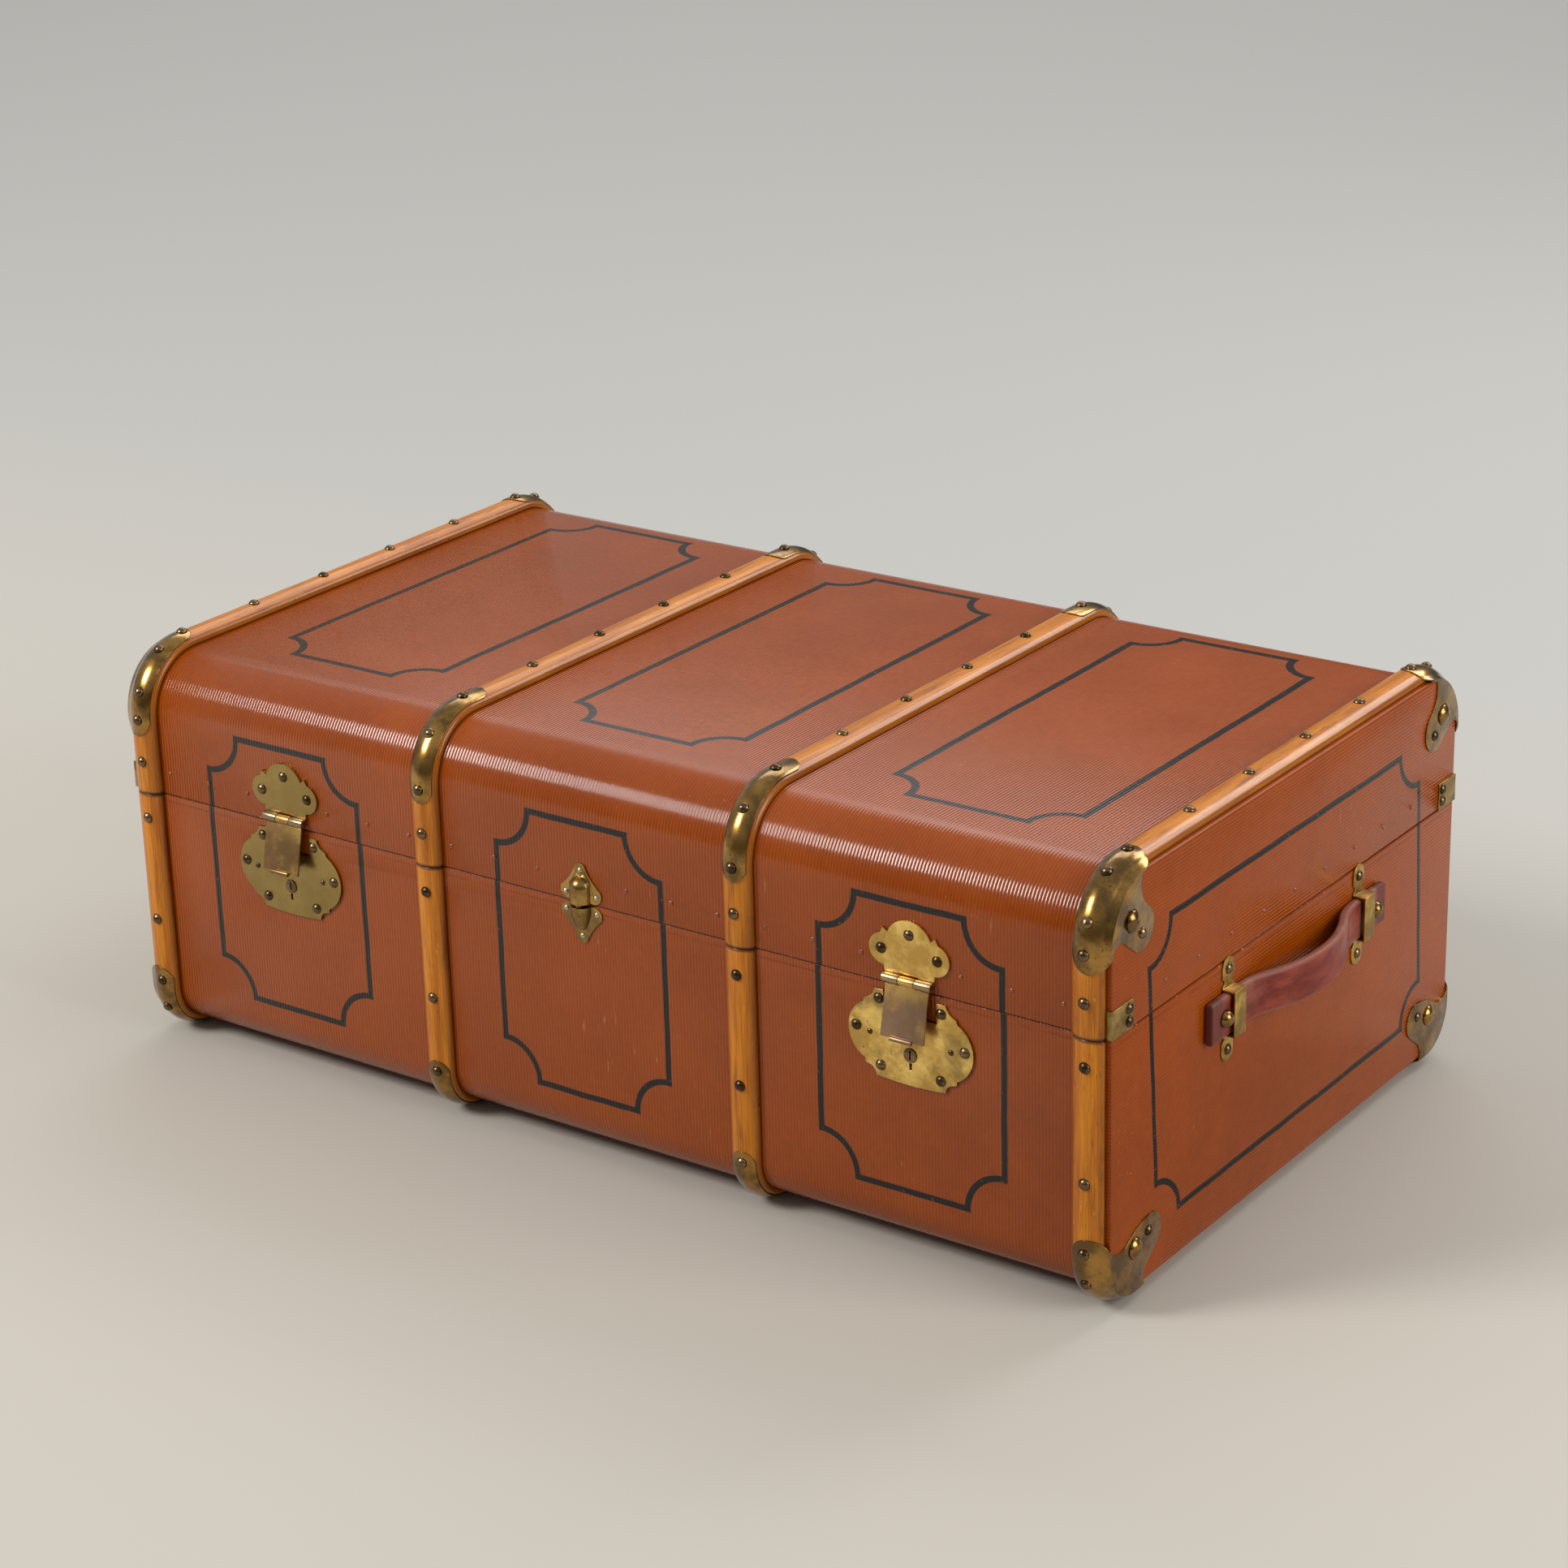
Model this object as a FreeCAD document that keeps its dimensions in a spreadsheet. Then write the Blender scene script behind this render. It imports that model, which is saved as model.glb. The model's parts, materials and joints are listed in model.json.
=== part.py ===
import FreeCAD, Part
import math
import os
from types import SimpleNamespace

import Sketcher

# A wood-bound cabin trunk: board shells, bentwood hoops, brass caps, hasp locks and leather handles.
# The trunk stands on the floor at z = 0, its length runs along X and its front faces -Y.

# Driving dimensions in millimetres, and angles in degrees where the name says so
SIZES = {
    # shells
    "trunk_length": 1006,
    "shell_depth": 576,
    "base_height": 226,
    "lid_height": 122.5,
    "seam_gap": 0.5,
    "wall": 10,
    "end_wall": 10,
    "lid_corner_radius": 53,
    "base_corner_radius": 36,
    # lining and the lip ring inside the lid
    "lining_sheet": 1.2,
    "lining_gap": 0.2,
    "base_lining_drop": 16,
    "lid_lining_drop": 31,
    "lip_clearance": 0.8,
    "lip_sheet": 1.5,
    "lip_drop": 12,
    "lip_rise": 30,
    # hoops
    "lid_hoop_width": 27.5,
    "lid_hoop_thickness": 10,
    "base_hoop_width": 27,
    "base_hoop_thickness": 9,
    "hoop_side": 4,
    "end_margin": 4.75,
    # brass caps
    "cap_sheet": 1,
    "cap_gap": 0.1,
    "cap_width": 23,
    "wing_lap": 1,
    "lid_strap_drop": 12,
    "lid_strap_run": 24,
    "base_strap_drop": 10,
    "base_strap_run": 20,
    "lid_corner_drop": 15,
    "lid_corner_run": 8,
    "base_corner_drop": 22,
    "base_corner_run": 14,
    # lid clamps on the end boards
    "clamp_length": 30,
    "clamp_height": 24,
    "clamp_sheet": 1.2,
    # nails, studs and rivets
    "glide_height": 3,
    "glide_flat_radius": 3,
    "nail_head_radius": 5,
    "nail_head_height": 3.3,
    "nail_shank_radius": 1.2,
    "nail_shank_length": 14,
    "plate_nail_radius": 4.8,
    "plate_nail_height": 3.1,
    "plate_nail_shank_radius": 1,
    "plate_nail_shank_length": 7,
    "plate_pin_radius": 2.6,
    "plate_pin_height": 1.6,
    "stud_radius": 9.5,
    "stud_height": 5,
    "stud_shank_radius": 2,
    "stud_shank_length": 6,
    "rivet_radius": 2.2,
    "rivet_height": 1,
    "rivet_shank_radius": 1,
    "rivet_shank_length": 12,
    "rivet_rise": 20,
    "rivet_pitch": 46,
    "end_rivet_pitch": 52,
    "lid_nail_rise": 30,
    "base_nail_high_drop": 23,
    "base_nail_low_drop": 121,
    "base_cap_nail_rise": 9,
    # locks
    "lock_drop": 43,
    "lock_plate_width": 116,
    "lock_plate_height": 80,
    "lock_plate_sheet": 2.2,
    "barrel_rise": 7.5,
    "barrel_radius": 4,
    "barrel_offset": 4.5,
    "barrel_length": 45,
    "knuckle_gap": 0.3,
    "hasp_pin_radius": 1.6,
    "running_gap": 0.05,
    "lid_plate_width": 74,
    "lid_plate_height": 50.5,
    "lid_plate_sheet": 2.2,
    "lid_plate_lap": 2,
    "hasp_width": 40,
    "hasp_length": 47,
    "hasp_sheet": 2,
    "hasp_seat": 0.5,
    "hasp_neck_gap": 0.6,
    "hasp_rest_degrees": 12,
    "lip_roll_radius": 2,
    "lip_roll_length": 20,
    "staple_width": 4,
    "staple_height": 11,
    "staple_reach": 8,
    "staple_wall": 2,
    "staple_drop": 41.5,
    "staple_slot_room": 2,
    "case_width": 58,
    "case_height": 44,
    "case_drop": 2,
    "case_depth": 7.5,
    "case_sheet": 0.8,
    "pocket_room": 0.3,
    "plug_drop": 13,
    "plug_radius": 6,
    "plug_proud": 0.8,
    "plug_shaft_radius": 2.4,
    "keyway_width": 1.6,
    "keyway_height": 8,
    "bit_slot_width": 2.4,
    "bit_slot_height": 6,
    "bolt_gap": 0.8,
    "bolt_sheet": 2,
    "bolt_height": 5,
    "bolt_throw": 8.5,
    "bolt_length": 18.5,
    "bolt_body": 10,
    "bolt_yoke": 3,
    "bolt_clear": 1.5,
    "fork_prong": 2,
    "fork_room": 0.4,
    "fork_lift": 3,
    "crank_pin_radius": 1,
    "crank_sheet": 1.5,
    "crank_rim": 0.5,
    "crank_gap": 0.3,
    # centre dowel
    "dowel_width": 42,
    "dowel_height": 35.5,
    "dowel_sheet": 1.2,
    "dowel_split": 1.5,
    "dowel_dome_radius": 10.2,
    "dowel_dome_height": 24,
    "dowel_egg_height": 24,
    "dowel_peg_radius": 3,
    "dowel_peg_rise": 8,
    "dowel_peg_root": 4,
    "dowel_peg_offset": 4.4,
    "dowel_peg_room": 0.6,
    # handles
    "handle_drop": 42,
    "loop_place": 110.5,
    "loop_width": 18,
    "loop_sheet": 1.5,
    "loop_room": 11.3,
    "loop_leg": 18.2,
    "loop_ear": 45,
    "loop_ear_round": 8.5,
    "loop_nail_place": 35,
    "loop_neck_place": 24.5,
    "loop_neck_radius": 3,
    "strap_width": 35.5,
    "strap_thickness": 8,
    "strap_gap": 0.3,
    "strap_half_length": 147,
    "strap_flat_end": 98,
    "strap_bow": 22,
    "handle_stud_place": 127.5,
    "handle_stud_radius": 7.5,
    "handle_stud_height": 7,
    # back hinges
    "hinge_setback": 13,
    "hinge_barrel_radius": 4,
    "hinge_pin_radius": 2.5,
    "hinge_leaf_width": 60,
    "hinge_leaf_height": 40,
    "hinge_leaf_sheet": 2,
    "hinge_knuckle": 26,
    "hinge_knuckle_gap": 0.4,
    "hinge_arm": 2.4,
    "hinge_arm_gap": 0.8,
    # how far a cut runs past the face it opens
    "overrun": 1,
}

doc = FreeCAD.newDocument("Trunk")
sheet = doc.addObject("Spreadsheet::Sheet", "Sizes")
for row, (name, value) in enumerate(SIZES.items(), 1):
    sheet.set(f"A{row}", name)
    sheet.set(f"B{row}", str(value))
    sheet.setAlias(f"B{row}", name)
doc.recompute()


class Size:
    """A length that carries its value and the sheet expression that gives it."""

    def __init__(self, value, text):
        self.value = float(value)
        self.text = text

    def __add__(self, other):
        other = as_size(other)
        return Size(self.value + other.value, f"({self.text} + {other.text})")

    def __sub__(self, other):
        other = as_size(other)
        return Size(self.value - other.value, f"({self.text} - {other.text})")

    def __mul__(self, other):
        other = as_size(other)
        return Size(self.value * other.value, f"({self.text} * {other.text})")

    def __truediv__(self, other):
        other = as_size(other)
        return Size(self.value / other.value, f"({self.text} / {other.text})")

    def __rsub__(self, other):
        return as_size(other) - self

    def __neg__(self):
        return self * -1

    __radd__ = __add__
    __rmul__ = __mul__

    def root(self):
        return Size(math.sqrt(self.value), f"sqrt({self.text})")


def as_size(value):
    return value if isinstance(value, Size) else Size(value, str(float(value)))


size = SimpleNamespace(**{name: Size(sheet.get(name), "Sizes." + name) for name in SIZES})

# Directions: the front and back of the trunk, its two ends, and the sides that an arc bulges to
FRONT, BACK = -1, 1
LEFT_END, RIGHT_END = -1, 1
ENDS = {"left": LEFT_END, "right": RIGHT_END}
FACES = {"front": FRONT, "back": BACK}
BULGE_RIGHT, BULGE_LEFT = 1, -1
EIGHTH_TURN_SHARE = math.sqrt(0.5)
X_AXIS = FreeCAD.Vector(1, 0, 0)
Y_AXIS = FreeCAD.Vector(0, 1, 0)
Z_AXIS = FreeCAD.Vector(0, 0, 1)

sub_parts = []


# Making bodies, sketches and features

def place(thing, x=0, y=0, z=0):
    for axis, where in zip("xyz", (x, y, z)):
        if isinstance(where, Size):
            thing.setExpression("Placement.Base." + axis, where.text)


def new_body(label, x=0, y=0, z=0, keep=True):
    body = doc.addObject("PartDesign::Body", label)
    body.Label = label
    place(body, x, y, z)
    if keep:
        sub_parts.append(body)
    return body


def new_sketch(body, role, lift=0):
    """A sketch on one of the body's own planes, moved along the plane's normal by lift."""
    plane = next(feature for feature in body.Origin.OriginFeatures if feature.Role == role)
    sketch = body.newObject("Sketcher::SketchObject", body.Label + "_sketch")
    sketch.AttachmentSupport = [(plane, "")]
    sketch.MapMode = "FlatFace"
    if isinstance(lift, Size):
        sketch.setExpression("AttachmentOffset.Base.z", lift.text)
    return sketch


def arc_between(start, end, radius, bulge):
    """The arc of under a half circle from start to end that bulges to one side of the way it goes."""
    chord = end - start
    depth = math.sqrt(max(radius ** 2 - chord.Length ** 2 / 4, 0))
    to_right = FreeCAD.Vector(chord.y, -chord.x, 0) / chord.Length
    centre = (start + end) / 2 - to_right * depth * bulge
    angles = [math.atan2(point.y - centre.y, point.x - centre.x) for point in (start, end)]
    if bulge == BULGE_LEFT:
        angles.reverse()
    return Part.ArcOfCircle(Part.Circle(centre, Z_AXIS, radius), *angles)


def outline(sketch, points, arcs=None, closed=True):
    """Lines through points; arcs gives the radius and bulge of each segment that is an arc."""
    arcs = arcs or {}
    first = len(sketch.Geometry)
    corners = [FreeCAD.Vector(as_size(u).value, as_size(v).value, 0) for u, v in points]
    count = len(points) if closed else len(points) - 1
    ends = []
    for number in range(count):
        start, end = corners[number], corners[(number + 1) % len(corners)]
        if number in arcs:
            radius, bulge = arcs[number]
            sketch.addGeometry(arc_between(start, end, radius.value, bulge), False)
            ends.append((1, 2) if bulge == BULGE_RIGHT else (2, 1))
        else:
            sketch.addGeometry(Part.LineSegment(start, end), False)
            ends.append((1, 2))
    rules = []
    bound = {}

    def fix_corner(geometry, end, point):
        for kind, axis, where in (("DistanceX", -2, point[0]), ("DistanceY", -1, point[1])):
            if isinstance(where, Size):
                bound[len(rules)] = where
                rules.append(Sketcher.Constraint(kind, -1, 1, geometry, end, where.value))
            else:
                rules.append(Sketcher.Constraint("PointOnObject", geometry, end, axis))

    for number in range(count):
        fix_corner(first + number, ends[number][0], points[number])
        if closed or number + 1 < count:
            after = (number + 1) % count
            rules.append(Sketcher.Constraint(
                "Coincident", first + number, ends[number][1], first + after, ends[after][0]))
        else:
            fix_corner(first + number, ends[number][1], points[-1])
        if number in arcs:
            bound[len(rules)] = arcs[number][0]
            rules.append(Sketcher.Constraint("Radius", first + number, arcs[number][0].value))
    constrain(sketch, rules, bound)


def constrain(sketch, rules, bound):
    start = len(sketch.Constraints)
    sketch.addConstraint(rules)
    for number, where in bound.items():
        sketch.setExpression(f"Constraints[{start + number}]", where.text)


def ring(sketch, radius, u=0, v=0):
    """A circle of the sketch, centred at u, v."""
    geometry = len(sketch.Geometry)
    centre = FreeCAD.Vector(as_size(u).value, as_size(v).value, 0)
    sketch.addGeometry(Part.Circle(centre, Z_AXIS, radius.value), False)
    rules = [Sketcher.Constraint("Radius", geometry, radius.value)]
    bound = {0: radius}
    for kind, axis, where in (("DistanceX", -2, u), ("DistanceY", -1, v)):
        if isinstance(where, Size):
            bound[len(rules)] = where
            rules.append(Sketcher.Constraint(kind, -1, 1, geometry, 3, where.value))
        else:
            rules.append(Sketcher.Constraint("PointOnObject", geometry, 3, axis))
    constrain(sketch, rules, bound)


def rectangle(sketch, low_u, high_u, low_v, high_v):
    outline(sketch, [(low_u, low_v), (high_u, low_v), (high_u, high_v), (low_u, high_v)])


def pad(body, sketch, length, symmetric=False, backwards=False):
    feature = body.newObject("PartDesign::Pad", body.Label + "_pad")
    feature.Profile = sketch
    feature.setExpression("Length", length.text)
    feature.SideType = "Symmetric" if symmetric else "One side"
    feature.Reversed = backwards
    return feature


def pocket(body, sketch, length, symmetric=False, backwards=False):
    """A cut, which has to take something away."""
    doc.recompute()
    before = body.Shape.Volume
    feature = body.newObject("PartDesign::Pocket", body.Label + "_pocket")
    feature.Profile = sketch
    feature.setExpression("Length", length.text)
    feature.SideType = "Symmetric" if symmetric else "One side"
    feature.Reversed = backwards
    doc.recompute()
    if not body.Shape.Volume < before:
        raise RuntimeError(f"a pocket of {body.Label} cuts nothing")
    return feature


def pipe(body, profile, spine):
    feature = body.newObject("PartDesign::AdditivePipe", body.Label + "_pipe")
    feature.Profile = profile
    feature.Spine = (spine, [])
    return feature


def revolve(body, sketch, degrees, backwards=False):
    feature = body.newObject("PartDesign::Revolution", body.Label + "_revolution")
    feature.Profile = sketch
    feature.ReferenceAxis = (sketch, ["V_Axis"])
    feature.Angle = degrees
    feature.Reversed = backwards
    return feature


def group(label, pieces):
    """Several solids of one kind that share a node."""
    compound = doc.addObject("Part::Compound", label)
    compound.Label = label
    compound.Links = pieces
    sub_parts.append(compound)
    return compound


def scatter(label, *kinds):
    """Copies of headed pieces, each with its head's seat at a point and its head facing a direction."""
    doc.recompute()
    copies = []
    for master, seats in kinds:
        for point, direction in seats:
            copy = master.Shape.copy()
            copy.Placement = FreeCAD.Placement(FreeCAD.Vector(*point), FreeCAD.Rotation(Z_AXIS, direction))
            copies.append(copy)
    feature = doc.addObject("Part::Feature", label)
    feature.Label = label
    feature.Shape = Part.Compound(copies)
    sub_parts.append(feature)
    return feature


def crown_radius(chord, sag):
    return (chord * chord / 4 + sag * sag) / (sag * 2)


def sag_of(radius, chord):
    return radius - (radius * radius - chord * chord / 4).root()


def mirrored(chain):
    """A chain of points on the right, followed by its mirror image coming back on the left."""
    return chain + [(-u, v) for u, v in reversed(chain)]


# Main levels and places
shell_bottom = size.glide_height + size.base_hoop_thickness
seam = shell_bottom + size.base_height
lid_edge = seam + size.seam_gap
shell_top = lid_edge + size.lid_height
half_depth = size.shell_depth / 2
half_length = size.trunk_length / 2
bay = (size.trunk_length - size.end_margin * 2 - size.lid_hoop_width) / 3
lock_level = seam - size.lock_drop
barrel_level = seam + size.barrel_rise
handle_level = seam - size.handle_drop

HOOP_PLACE_SHARES = {"left_end": -1, "left_inner": -1 / 3, "right_inner": 1 / 3, "right_end": 1}

LID = SimpleNamespace(
    name="lid", up=1, edge=lid_edge, crown=shell_top, radius=size.lid_corner_radius,
    hoop_width=size.lid_hoop_width, hoop_thickness=size.lid_hoop_thickness,
    strap_drop=size.lid_strap_drop, strap_run=size.lid_strap_run,
    corner_drop=size.lid_corner_drop, corner_run=size.lid_corner_run,
    lining_drop=size.lid_lining_drop)
BASE = SimpleNamespace(
    name="base", up=-1, edge=seam, crown=shell_bottom, radius=size.base_corner_radius,
    hoop_width=size.base_hoop_width, hoop_thickness=size.base_hoop_thickness,
    strap_drop=size.base_strap_drop, strap_run=size.base_strap_run,
    corner_drop=size.base_corner_drop, corner_run=size.base_corner_run,
    lining_drop=size.base_lining_drop)
HALVES = (LID, BASE)
for half in HALVES:
    half.bend = half.crown - half.up * half.radius
    half.flat = half_depth - half.radius
    half.crown_radius = crown_radius(half.hoop_width, half.hoop_thickness - size.hoop_side)
    half.end_reach = half.hoop_width / 2 + size.end_margin


def hoop_place(half, name):
    return HOOP_PLACE_SHARES[name] * (half_length - half.end_reach)


# Shells: each half is a bent wrap closed by two end boards

def girth(half, inset, edge):
    """Points from the front edge over the crown to the back edge, inset from the shell's outer face."""
    side = half_depth - inset
    level = half.crown - half.up * inset
    return [(-side, edge), (-side, half.bend), (-half.flat, level),
            (half.flat, level), (side, half.bend), (side, edge)]


def girth_arcs(half, inset, first=0, bulge=1):
    bend = (half.radius - inset, -half.up * bulge)
    return {first + 1: bend, first + 3: bend}


def wrap_profile(sketch, half, outer, inner):
    points = girth(half, outer, half.edge)
    arcs = girth_arcs(half, outer)
    arcs.update(girth_arcs(half, inner, len(points), -1))
    outline(sketch, points + list(reversed(girth(half, inner, half.edge))), arcs)


def solid_profile(sketch, half, inset, edge):
    outline(sketch, girth(half, inset, edge), girth_arcs(half, inset))


def make_wrap(half):
    body = new_body(half.name + "_wrap")
    sketch = new_sketch(body, "YZ_Plane")
    wrap_profile(sketch, half, 0, size.wall)
    pad(body, sketch, size.trunk_length - size.end_wall * 2, symmetric=True)
    return body


def make_end_boards(half):
    for name, start in (("left", -half_length), ("right", half_length - size.end_wall)):
        body = new_body(f"{half.name}_{name}_end", start)
        sketch = new_sketch(body, "YZ_Plane")
        solid_profile(sketch, half, 0, half.edge)
        pad(body, sketch, size.end_wall)


def make_lining(half):
    """A thin tray inside the shell, open at the seam."""
    body = new_body(half.name + "_lining")
    edge = half.edge + half.up * half.lining_drop
    outer = size.wall + size.lining_gap
    length = size.trunk_length - (size.end_wall + size.lining_gap) * 2
    sketch = new_sketch(body, "YZ_Plane")
    solid_profile(sketch, half, outer, edge)
    pad(body, sketch, length, symmetric=True)
    hollow = new_sketch(body, "YZ_Plane")
    solid_profile(hollow, half, outer + size.lining_sheet, edge - half.up * size.overrun)
    pocket(body, hollow, length - size.lining_sheet * 2, symmetric=True)


def make_lip_ring():
    """The ring inside the lid's edge that drops into the base and keeps dust out."""
    body = new_body("lid_lip_ring")
    sketch = new_sketch(body, "XY_Plane", lid_edge - size.lip_drop)
    long_side = half_length - size.end_wall - size.lip_clearance
    short_side = half_depth - size.wall - size.lip_clearance
    rectangle(sketch, -long_side, long_side, -short_side, short_side)
    inner_long, inner_short = long_side - size.lip_sheet, short_side - size.lip_sheet
    rectangle(sketch, -inner_long, inner_long, -inner_short, inner_short)
    pad(body, sketch, size.lip_drop + size.lip_rise)


base_wrap = make_wrap(BASE)
make_wrap(LID)
for half in HALVES:
    make_end_boards(half)
    make_lining(half)
make_lip_ring()


# Hoops: crowned wooden strips bent round each half

def make_hoop(half, name):
    body = new_body(f"{half.name}_hoop_{name}", hoop_place(half, name))
    profile = new_sketch(body, "XY_Plane", half.edge)
    side = half.hoop_width / 2
    foot, shoulder = -half_depth, -half_depth - size.hoop_side
    outline(profile, [(-side, foot), (side, foot), (side, shoulder), (-side, shoulder)],
            {2: (half.crown_radius, BULGE_LEFT)})
    spine = new_sketch(body, "YZ_Plane")
    outline(spine, girth(half, 0, half.edge), girth_arcs(half, 0), closed=False)
    pipe(body, profile, spine)


for half in HALVES:
    for name in HOOP_PLACE_SHARES:
        make_hoop(half, name)


# Brass caps over the bends of the hoops

def cap_spine(body, half, face, drop, run):
    spine = new_sketch(body, "YZ_Plane")
    points = [(half_depth * face, half.bend - half.up * drop), (half_depth * face, half.bend),
              (half.flat * face, half.crown), ((half.flat - run) * face, half.crown)]
    outline(spine, points, {1: (half.radius, face * half.up)}, closed=False)
    return spine


# How far a corner cap's skirt stands off the board, in shares of the hoop's side
CAP_SKIRT_SHARE = 0.5
# The round of a cap's end and how wide it is cut, in shares of the cap's half width
CAP_ROUND_SHARE = 1.02
BASE_CORNER_ROUND_SHARE = 1.12
CAP_ROUND_REACH_SHARE = 1.01


def cap_profile(body, half, face, end, drop, flange):
    """The cap's section: a strip over the hoop's crown, with a skirt round the end of an end hoop."""
    profile = new_sketch(body, "XY_Plane", half.bend - half.up * drop)
    inner, outer = half.crown_radius + size.cap_gap, half.crown_radius + size.cap_gap + size.cap_sheet
    apex = half.hoop_thickness + size.cap_gap

    def height(radius, top, reach):
        return top - sag_of(radius, reach * 2)

    near = -size.cap_width / 2
    low_near = height(inner, apex, near)
    high_near = height(outer, apex + size.cap_sheet, near)
    if flange:
        edge = half.hoop_width / 2 + size.cap_gap
        side = half.end_reach + size.cap_gap
        skin = side + size.cap_sheet
        skirt = size.hoop_side * CAP_SKIRT_SHARE
        chain = [(near, low_near), (edge, height(inner, apex, edge)), (side, skirt), (side, 0),
                 (skin, 0), (skin, skirt + size.cap_sheet / 2),
                 (edge, height(outer, apex + size.cap_sheet, edge)), (near, high_near)]
    else:
        far = size.cap_width / 2
        chain = [(near, low_near), (far, low_near), (far, high_near), (near, high_near)]
    points = [(across * end, (half_depth + out) * face) for across, out in chain]
    turn = end * face
    outline(profile, points, {0: (inner, -turn), len(chain) - 2: (outer, turn)})
    return profile


def cap_end(sketch, middle, reach, tip, away, share, bulge):
    """What is cut off to round a cap's end; away is the side of the tip that the cap lies on."""
    radius, side = reach * share, reach * CAP_ROUND_REACH_SHARE
    level = tip + sag_of(radius, side * 2) * away
    past = tip - size.overrun * away
    low, high = middle - side, middle + side
    outline(sketch, [(low, level), (high, level), (high, past), (low, past)], {0: (radius, bulge)})


def round_foot(body, half, face, drop, middle, reach, share):
    cut = half.hoop_thickness + size.cap_gap + size.cap_sheet
    foot = new_sketch(body, "XZ_Plane", -face * (half_depth + half.hoop_thickness / 2))
    cap_end(foot, middle, reach, half.bend - half.up * drop, half.up, share, half.up)
    pocket(body, foot, cut * 2, symmetric=True)


def round_top(body, half, face, run, middle, reach, share):
    cut = half.hoop_thickness + size.cap_gap + size.cap_sheet
    top = new_sketch(body, "XY_Plane", half.crown + half.up * half.hoop_thickness / 2)
    cap_end(top, middle, reach, (half.flat - run) * face, face, share, face)
    pocket(body, top, cut * 2, symmetric=True)


def make_strap_cap(half, name, face_name):
    face = FACES[face_name]
    body = new_body(f"{half.name}_strap_{name}_{face_name}", hoop_place(half, name), keep=False)
    profile = cap_profile(body, half, face, RIGHT_END, half.strap_drop, flange=False)
    pipe(body, profile, cap_spine(body, half, face, half.strap_drop, half.strap_run))
    round_foot(body, half, face, half.strap_drop, 0, size.cap_width / 2, CAP_ROUND_SHARE)
    round_top(body, half, face, half.strap_run, 0, size.cap_width / 2, CAP_ROUND_SHARE)
    return body


# The wing outlines run from the hoop inwards over the end board and back to the crown.
# Each point is in shares of the corner's radius, outwards and towards the crown from the bend's centre.
LID_WING_SHARES = [(0.68, 0.055), (0.36, -0.178), (0.008, 0.41)]
LID_WING_START_SHARE = -0.02
LID_WING_END_SHARE = 0.205
LID_WING_ARC_SHARES = {0: (0.2, 1), 2: (0.345, -1), 3: (0.52, 1)}
BASE_WING_SHARES = [(0.333, -0.236), (-0.528, -0.536), (-0.864, 0.30), (-0.49, 0.59)]
BASE_WING_START_SHARE = -0.30
BASE_WING_END_SHARE = -0.355
BASE_WING_ARC_SHARES = {0: (0.56, 1), 1: (1.9, -1), 2: (0.453, -1), 4: (0.45, 1)}
LID.wing = (LID_WING_SHARES, LID_WING_START_SHARE, LID_WING_END_SHARE, LID_WING_ARC_SHARES)
BASE.wing = (BASE_WING_SHARES, BASE_WING_START_SHARE, BASE_WING_END_SHARE, BASE_WING_ARC_SHARES)
LID.corner_round_share = CAP_ROUND_SHARE
BASE.corner_round_share = BASE_CORNER_ROUND_SHARE


def make_corner_cap(half, end_name, face_name):
    end, face = ENDS[end_name], FACES[face_name]
    body = new_body(f"{half.name}_corner_cap_{face_name}_{end_name}", hoop_place(half, end_name + "_end"))
    profile = cap_profile(body, half, face, end, half.corner_drop, flange=True)
    pipe(body, profile, cap_spine(body, half, face, half.corner_drop, half.corner_run))
    side = half.end_reach + size.cap_gap
    reach = (side + size.cap_sheet + size.cap_width / 2) / 2
    middle = (side + size.cap_sheet - reach) * end
    round_foot(body, half, face, half.corner_drop, middle, reach, half.corner_round_share)
    if half is LID:
        round_top(body, half, face, half.corner_run, middle, reach, half.corner_round_share)
    shares, start_share, end_share, arc_shares = half.wing
    rim = half.radius + size.wing_lap
    chain = [(rim, half.radius * start_share)]
    chain += [(half.radius * out, half.radius * rise) for out, rise in shares]
    chain.append((half.radius * end_share, rim))
    arcs = {number: (half.radius * share, bulge * face * half.up)
            for number, (share, bulge) in arc_shares.items()}
    if end_share < 0:
        chain.append((0, rim))
    arcs[len(chain) - 1] = (rim, -face * half.up)
    chain.append((rim, 0))
    points = [((half.flat + out) * face, half.bend + half.up * rise) for out, rise in chain]
    wing = new_sketch(body, "YZ_Plane", side if end == RIGHT_END else -side - size.cap_sheet)
    outline(wing, points, arcs)
    pad(body, wing, size.cap_sheet)


for half in HALVES:
    group(half.name + "_strap_caps", [make_strap_cap(half, name, face_name)
                                      for name in ("left_inner", "right_inner") for face_name in FACES])
    for end_name in ENDS:
        for face_name in FACES:
            make_corner_cap(half, end_name, face_name)


# Small clamps on the lid's end boards, just above the seam

def make_clamp(end, face):
    clamp = doc.addObject("Part::Box", "lid_end_clamp")
    clamp.setExpression("Length", size.clamp_sheet.text)
    clamp.setExpression("Width", size.clamp_length.text)
    clamp.setExpression("Height", size.clamp_height.text)
    skin = half_length + size.cap_gap
    place(clamp,
          skin if end == RIGHT_END else -skin - size.clamp_sheet,
          -half_depth if face == FRONT else half_depth - size.clamp_length,
          lid_edge)
    return clamp


group("lid_end_clamps", [make_clamp(end, face) for end in ENDS.values() for face in FACES.values()])


# Hasp locks: the same on the left and the right of the front

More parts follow.
